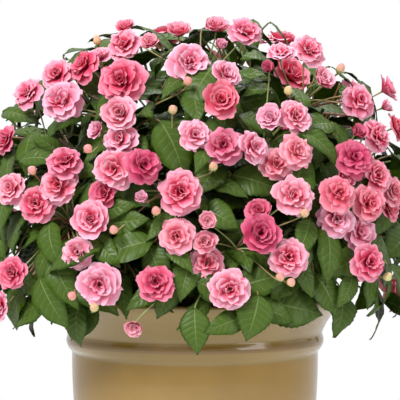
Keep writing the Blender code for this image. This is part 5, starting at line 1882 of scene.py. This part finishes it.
def add_bud(shape, base, facing, length, width, seed):
    """A bud: radius = w sin(pi r^0.82)^0.75 along an axis that curves a little, pinched into three seams."""
    draw = np.random.default_rng(seed + 900)
    rows, columns = 10, 12
    run = np.linspace(0.02, 0.985, rows)[:, None]
    angle = (np.arange(columns) * math.tau / columns)[None]
    radius = width / 2 * np.sin(math.pi * run**0.82) ** 0.75 * (1 - 0.07 * np.cos(3 * angle + 2 * run))
    axes = frame_of(facing, draw.uniform(0, math.tau))
    bend = 0.10 * length * np.sin(math.pi * run)
    height = run * length * np.ones_like(angle)
    local = np.stack([radius * np.cos(angle) + bend, radius * np.sin(angle), height], -1)
    ends = np.array([[0, 0, 0], [0, 0, length]])
    points = np.concatenate([local.reshape(-1, 3), ends]) @ axes + base
    share = np.broadcast_to(angle / math.tau, (rows, columns))
    values = np.stack([np.broadcast_to(run, share.shape), share, np.full(share.shape, draw.uniform())], -1)
    values = np.concatenate([values.reshape(-1, 3), [[0, 0, values[0, 0, 2]], [1, 0, values[0, 0, 2]]]])
    shape.add(points, ring_faces(rows, columns), 2, bud=values)


# Flower stalks, and the spike that they leave: its reach from the stem's tip, and its radii in millimetres
STALK_STEPS = 12
STALK_RING = 6
STALK_RADII = (0.85, 0.65)
STALK_END_FLARE = (1.3, 1.7)
SPIKE_REACH = (-0.001, 0.0245)
SPIKE_RADII = (2.3, 2.25, 2.1, 2.0, 1.9, 1.75, 1.6, 1.0)
SPIKE_RING = 8


def stalk_lines(roots, bases, facings):
    """Flower stalks: cubic curves that leave the spray's spike rising, and arrive from behind the bloom."""
    span = np.linalg.norm(bases - roots, axis=-1, keepdims=True)
    arrive = bases - facings * np.minimum(span * 0.45, 0.016)
    leave = roots + (bases - roots) * 0.3 + np.array([[0, 0, 0.12]]) * span
    return bezier(roots, leave, arrive, bases + facings * 0.0008, STALK_STEPS)


def make_sprays(sizes):
    """Two pieces a spray: its blooms, and the green that holds them with the buds."""
    petals = petal_material("petal_rose", sizes.pale_colour, sizes.rose_colour, sizes.deep_colour)
    green = leaf_material("sepal_green", (0.10, 0.16, 0.04), (0.17, 0.24, 0.07), (0.20, 0.26, 0.10))
    stem = stalk_material("stalk_green", (0.24, 0.30, 0.09), (0.42, 0.20, 0.13))
    bud = bud_material("bud_blush")
    lines = np.array(STEMS, float)[:, -2:] * MM
    for number in sorted({row[0] for row in BLOOMS}):
        rows = [(k, row) for k, row in enumerate(BLOOMS) if row[0] == number]
        table = np.array([row for _, row in rows], float)
        facings = bloom_facings(table)
        widths = table[:, 9]
        bases = table[:, 4:7] * MM - facings * BLOOM_BASE * widths[:, None] / 2 * MM
        shape, blooms = Shape(), Shape()
        tip, along = lines[number - 1, 1], unit(lines[number - 1, 1] - lines[number - 1, 0])
        spike = tip + along * np.linspace(*SPIKE_REACH, len(SPIKE_RADII))[:, None]
        chance = np.array([(number * 0.37) % 1])
        spike_radii_and_painted_roll_reflection = np.array(SPIKE_RADII)[None] * MM
        tubes(shape, spike[None], spike_radii_and_painted_roll_reflection, SPIKE_RING, 1, stalk=stalk_values(spike[None], chance))
        held = stalk_lines(table[:, 1:4] * MM, bases, facings)
        radii = np.linspace(*STALK_RADII, held.shape[1])[None] * np.ones((len(held), 1)) * MM
        radii[:, -2:] *= STALK_END_FLARE
        tubes(shape, held, radii, STALK_RING, 1, stalk=stalk_values(held, table[:, 9] % 7 / 7))
        for (seed, row), base, facing, width in zip(rows, bases, facings, widths):
            if width <= BUD_WIDTH:
                add_bud(shape, base, facing, BUD_LENGTH, BUD_GIRTH, seed)
                add_sepals(shape, base, facing, BUD_SEPALS, seed)
                continue
            place = np.array(row[4:7]) * MM
            add_bloom(blooms, place, facing, width, row[10], row[11], seed, sizes.thickness)
            add_sepals(shape, base, facing, width / 2 * MM, seed)
        name = f"spray_{number:02d}"
        replaced = [f"bloom_{name}"]
        if blooms.count:
            blooms.make(f"{name}_blooms", "petal_pink", [petals], replaced)
            replaced = []
        shape.make(f"{name}_stalks", "leaf_green", [green, stem, bud], replaced)


# Studio

AIM = (0.005, 0.0, 0.3454)
LENS = 148.5
FLOOR = ((0, -20), (1100, -20), (1100, -4), (1096, -0.2), (0, -0.2))
FLOOR_STEPS = 96
# Each lamp: its place, and its width and height
LIT = (0, 0, 0.3)
KEY_LIGHT = ((-0.9, -1.5, 1.7), (0.9, 0.9))
FILL_LIGHT = ((1.3, -1.1, 0.7), (0.8, 1.0))
TOP_LIGHT = ((0.2, 0.5, 1.7), (1.2, 0.8))


def aimed(obj, target):
    """Turns a lamp or camera so that its -Z looks at a place, with its +Y up."""
    obj.rotation_euler = (Vector(target) - obj.location).to_track_quat("-Z", "Y").to_euler()


def add_lamp(name, place, size, energy):
    """A soft rectangle of light that looks at the plant."""
    data = bpy.data.lights.new(name, "AREA")
    data.shape = "RECTANGLE"
    data.size, data.size_y = size
    data.energy = energy
    lamp = bpy.data.objects.new(name, data)
    lamp.location = place
    bpy.context.scene.collection.objects.link(lamp)
    aimed(lamp, LIT)


def make_studio(settings):
    """A pale round floor, a white surround that is seen at full strength, mirrored at part of it and lights
    at less, a key light high on the left, a fill light on the right, one over the back, and the camera."""
    shape = Shape()
    turned_shape(shape, np.array(FLOOR) * MM, FLOOR_STEPS)
    paper, make, shader = new_material("floor_paper", Roughness=0.9)
    tint = make.mix(make.noise(30.0), (0.86, 0.86, 0.86, 1), (0.90, 0.90, 0.90, 1))
    make.feed(shader, "Base Color", tint)
    floor = shape.make("studio_floor", "", [paper])
    del floor["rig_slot"]
    add_lamp("key_light", *KEY_LIGHT, settings.key_power)
    add_lamp("fill_light", *FILL_LIGHT, settings.fill_power)
    add_lamp("top_light", *TOP_LIGHT, settings.top_power)
    world = bpy.data.worlds.new("studio_white")
    world.use_nodes = True
    make = Nodes(world.node_tree)
    seen = make.add("ShaderNodeLightPath", "Is Camera Ray")
    mirrored = make.add("ShaderNodeLightPath", "Is Glossy Ray")
    strength = make.add("ShaderNodeMix", 0, i0=mirrored, i2=settings.surround, i3=settings.reflection)
    strength = make.add("ShaderNodeMix", 0, i0=seen, i2=strength, i3=1.0)
    sky = world.node_tree.nodes["Background"]
    sky.inputs["Color"].default_value = (1, 1, 1, 1)
    world.node_tree.links.new(strength, sky.inputs["Strength"])
    bpy.context.scene.world = world
    bpy.context.scene.view_settings.view_transform = "Standard"
    data = bpy.data.cameras.new("camera")
    data.lens = LENS
    data.clip_end = 20
    camera = bpy.data.objects.new("camera", data)
    camera.location = EYE
    bpy.context.scene.collection.objects.link(camera)
    aimed(camera, AIM)
    bpy.context.scene.camera = camera


# Sizes and colours that a user may change


def colour_setting(name, description, default):
    return FloatVectorProperty(
        name=name, description=description, default=default, subtype="COLOR", size=3, min=0.0, max=1.0
    )


def length_setting(name, description, default):
    return FloatProperty(
        name=name, description=description, default=default, min=0.0, unit="LENGTH", precision=5
    )


def strength_setting(name, description, default, unit="NONE"):
    return FloatProperty(name=name, description=description, default=default, min=0.0, unit=unit)


class PotSizes(bpy.types.PropertyGroup):
    foot_radius: length_setting("Foot radius", "Radius of the pot's foot", 0.092)
    segments: IntProperty(name="Steps round", description="Faces round the pot", default=108, min=24)
    body_colour: colour_setting("Body", "Glaze on the body", (0.300, 0.174, 0.030))
    # Painted reflection: the greyer tint that the collar and the roll under it are painted with.
    collar_reflection_colour: colour_setting("Collar", "Thinner and greyer glaze on the collar", (0.250, 0.170, 0.048))


class SoilSizes(bpy.types.PropertyGroup):
    wet_colour: colour_setting("Damp soil", "Dark ground between the crumbs", (0.022, 0.013, 0.008))
    crumb_colour: colour_setting("Crumbs", "Lighter crumbs and fibres", (0.085, 0.052, 0.030))


class LeafSizes(bpy.types.PropertyGroup):
    thickness: length_setting("Blade thickness", "Thickness of a leaf's blade", 0.0005)
    dark_colour: colour_setting("Old leaves", "Darkest green", (0.008, 0.024, 0.001))
    light_colour: colour_setting("Young leaves", "Lightest green", (0.040, 0.083, 0.002))
    under_colour: colour_setting("Underside", "Green of the underside", (0.065, 0.115, 0.018))


class BloomSizes(bpy.types.PropertyGroup):
    thickness: length_setting("Petal thickness", "Thickness of a petal", 0.00030)
    pale_colour: colour_setting("Pale petals", "Palest pink", (0.94, 0.35, 0.50))
    rose_colour: colour_setting("Rose petals", "Middle pink", (0.88, 0.100, 0.210))
    deep_colour: colour_setting("Deep petals", "Deepest pink", (0.60, 0.012, 0.080))


class StudioSettings(bpy.types.PropertyGroup):
    key_power: strength_setting("Key light", "Power of the main light", 58.0, "POWER")
    fill_power: strength_setting("Fill light", "Power of the light on the right", 10.0, "POWER")
    top_power: strength_setting("Top light", "Power of the light over the back", 20.0, "POWER")
    surround: strength_setting("Surround", "How strongly the white surround lights", 0.34)
    reflection: strength_setting("Reflection", "How brightly glossy surfaces mirror the surround", 0.75)


class BUSYLIZZIE_OT_pot(bpy.types.Operator):
    """Turns the glazed pot"""

    bl_idname = "busy_lizzie.pot"
    bl_label = "Glazed pot"

    def execute(self, context):
        make_pot(context.scene.busy_lizzie_pot)
        return {"FINISHED"}


class BUSYLIZZIE_OT_soil(bpy.types.Operator):
    """Fills the pot with soil and strews crumbs on it"""

    bl_idname = "busy_lizzie.soil"
    bl_label = "Soil"

    def execute(self, context):
        make_soil(context.scene.busy_lizzie_soil)
        return {"FINISHED"}


class BUSYLIZZIE_OT_shoots(bpy.types.Operator):
    """Grows the stems and their leaves"""

    bl_idname = "busy_lizzie.shoots"
    bl_label = "Leafy shoots"

    def execute(self, context):
        make_shoots(context.scene.busy_lizzie_leaves)
        return {"FINISHED"}


class BUSYLIZZIE_OT_sprays(bpy.types.Operator):
    """Opens the double blooms and buds on their stalks"""

    bl_idname = "busy_lizzie.sprays"
    bl_label = "Sprays of blooms"

    def execute(self, context):
        make_sprays(context.scene.busy_lizzie_blooms)
        return {"FINISHED"}


class BUSYLIZZIE_OT_studio(bpy.types.Operator):
    """Sets the floor, the lights and the camera"""

    bl_idname = "busy_lizzie.studio"
    bl_label = "Studio"

    def execute(self, context):
        make_studio(context.scene.busy_lizzie_studio)
        return {"FINISHED"}


class BUSYLIZZIE_PT_panel(bpy.types.Panel):
    """Lists the steps, with their sizes and colours"""

    bl_idname = "BUSYLIZZIE_PT_panel"
    bl_label = "Busy lizzie"
    bl_space_type = "VIEW_3D"
    bl_region_type = "UI"
    bl_category = "Busy lizzie"

    def draw(self, context):
        for step, (operator, group) in STEPS.items():
            box = self.layout.box()
            box.operator(operator.bl_idname)
            for name in group.__annotations__:
                box.prop(getattr(context.scene, step), name)


STEPS = {
    "busy_lizzie_pot": (BUSYLIZZIE_OT_pot, PotSizes),
    "busy_lizzie_soil": (BUSYLIZZIE_OT_soil, SoilSizes),
    "busy_lizzie_leaves": (BUSYLIZZIE_OT_shoots, LeafSizes),
    "busy_lizzie_blooms": (BUSYLIZZIE_OT_sprays, BloomSizes),
    "busy_lizzie_studio": (BUSYLIZZIE_OT_studio, StudioSettings),
}


def register():
    for step, (operator, group) in STEPS.items():
        bpy.utils.register_class(group)
        bpy.utils.register_class(operator)
        setattr(bpy.types.Scene, step, PointerProperty(type=group))
    bpy.utils.register_class(BUSYLIZZIE_PT_panel)


def unregister():
    bpy.utils.unregister_class(BUSYLIZZIE_PT_panel)
    for step, (operator, group) in STEPS.items():
        delattr(bpy.types.Scene, step)
        bpy.utils.unregister_class(operator)
        bpy.utils.unregister_class(group)


def main():
    """Registers the steps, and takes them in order."""
    register()
    bpy.ops.busy_lizzie.pot()
    bpy.ops.busy_lizzie.soil()
    bpy.ops.busy_lizzie.shoots()
    bpy.ops.busy_lizzie.sprays()
    bpy.ops.busy_lizzie.studio()


if __name__ == "__main__":
    main()
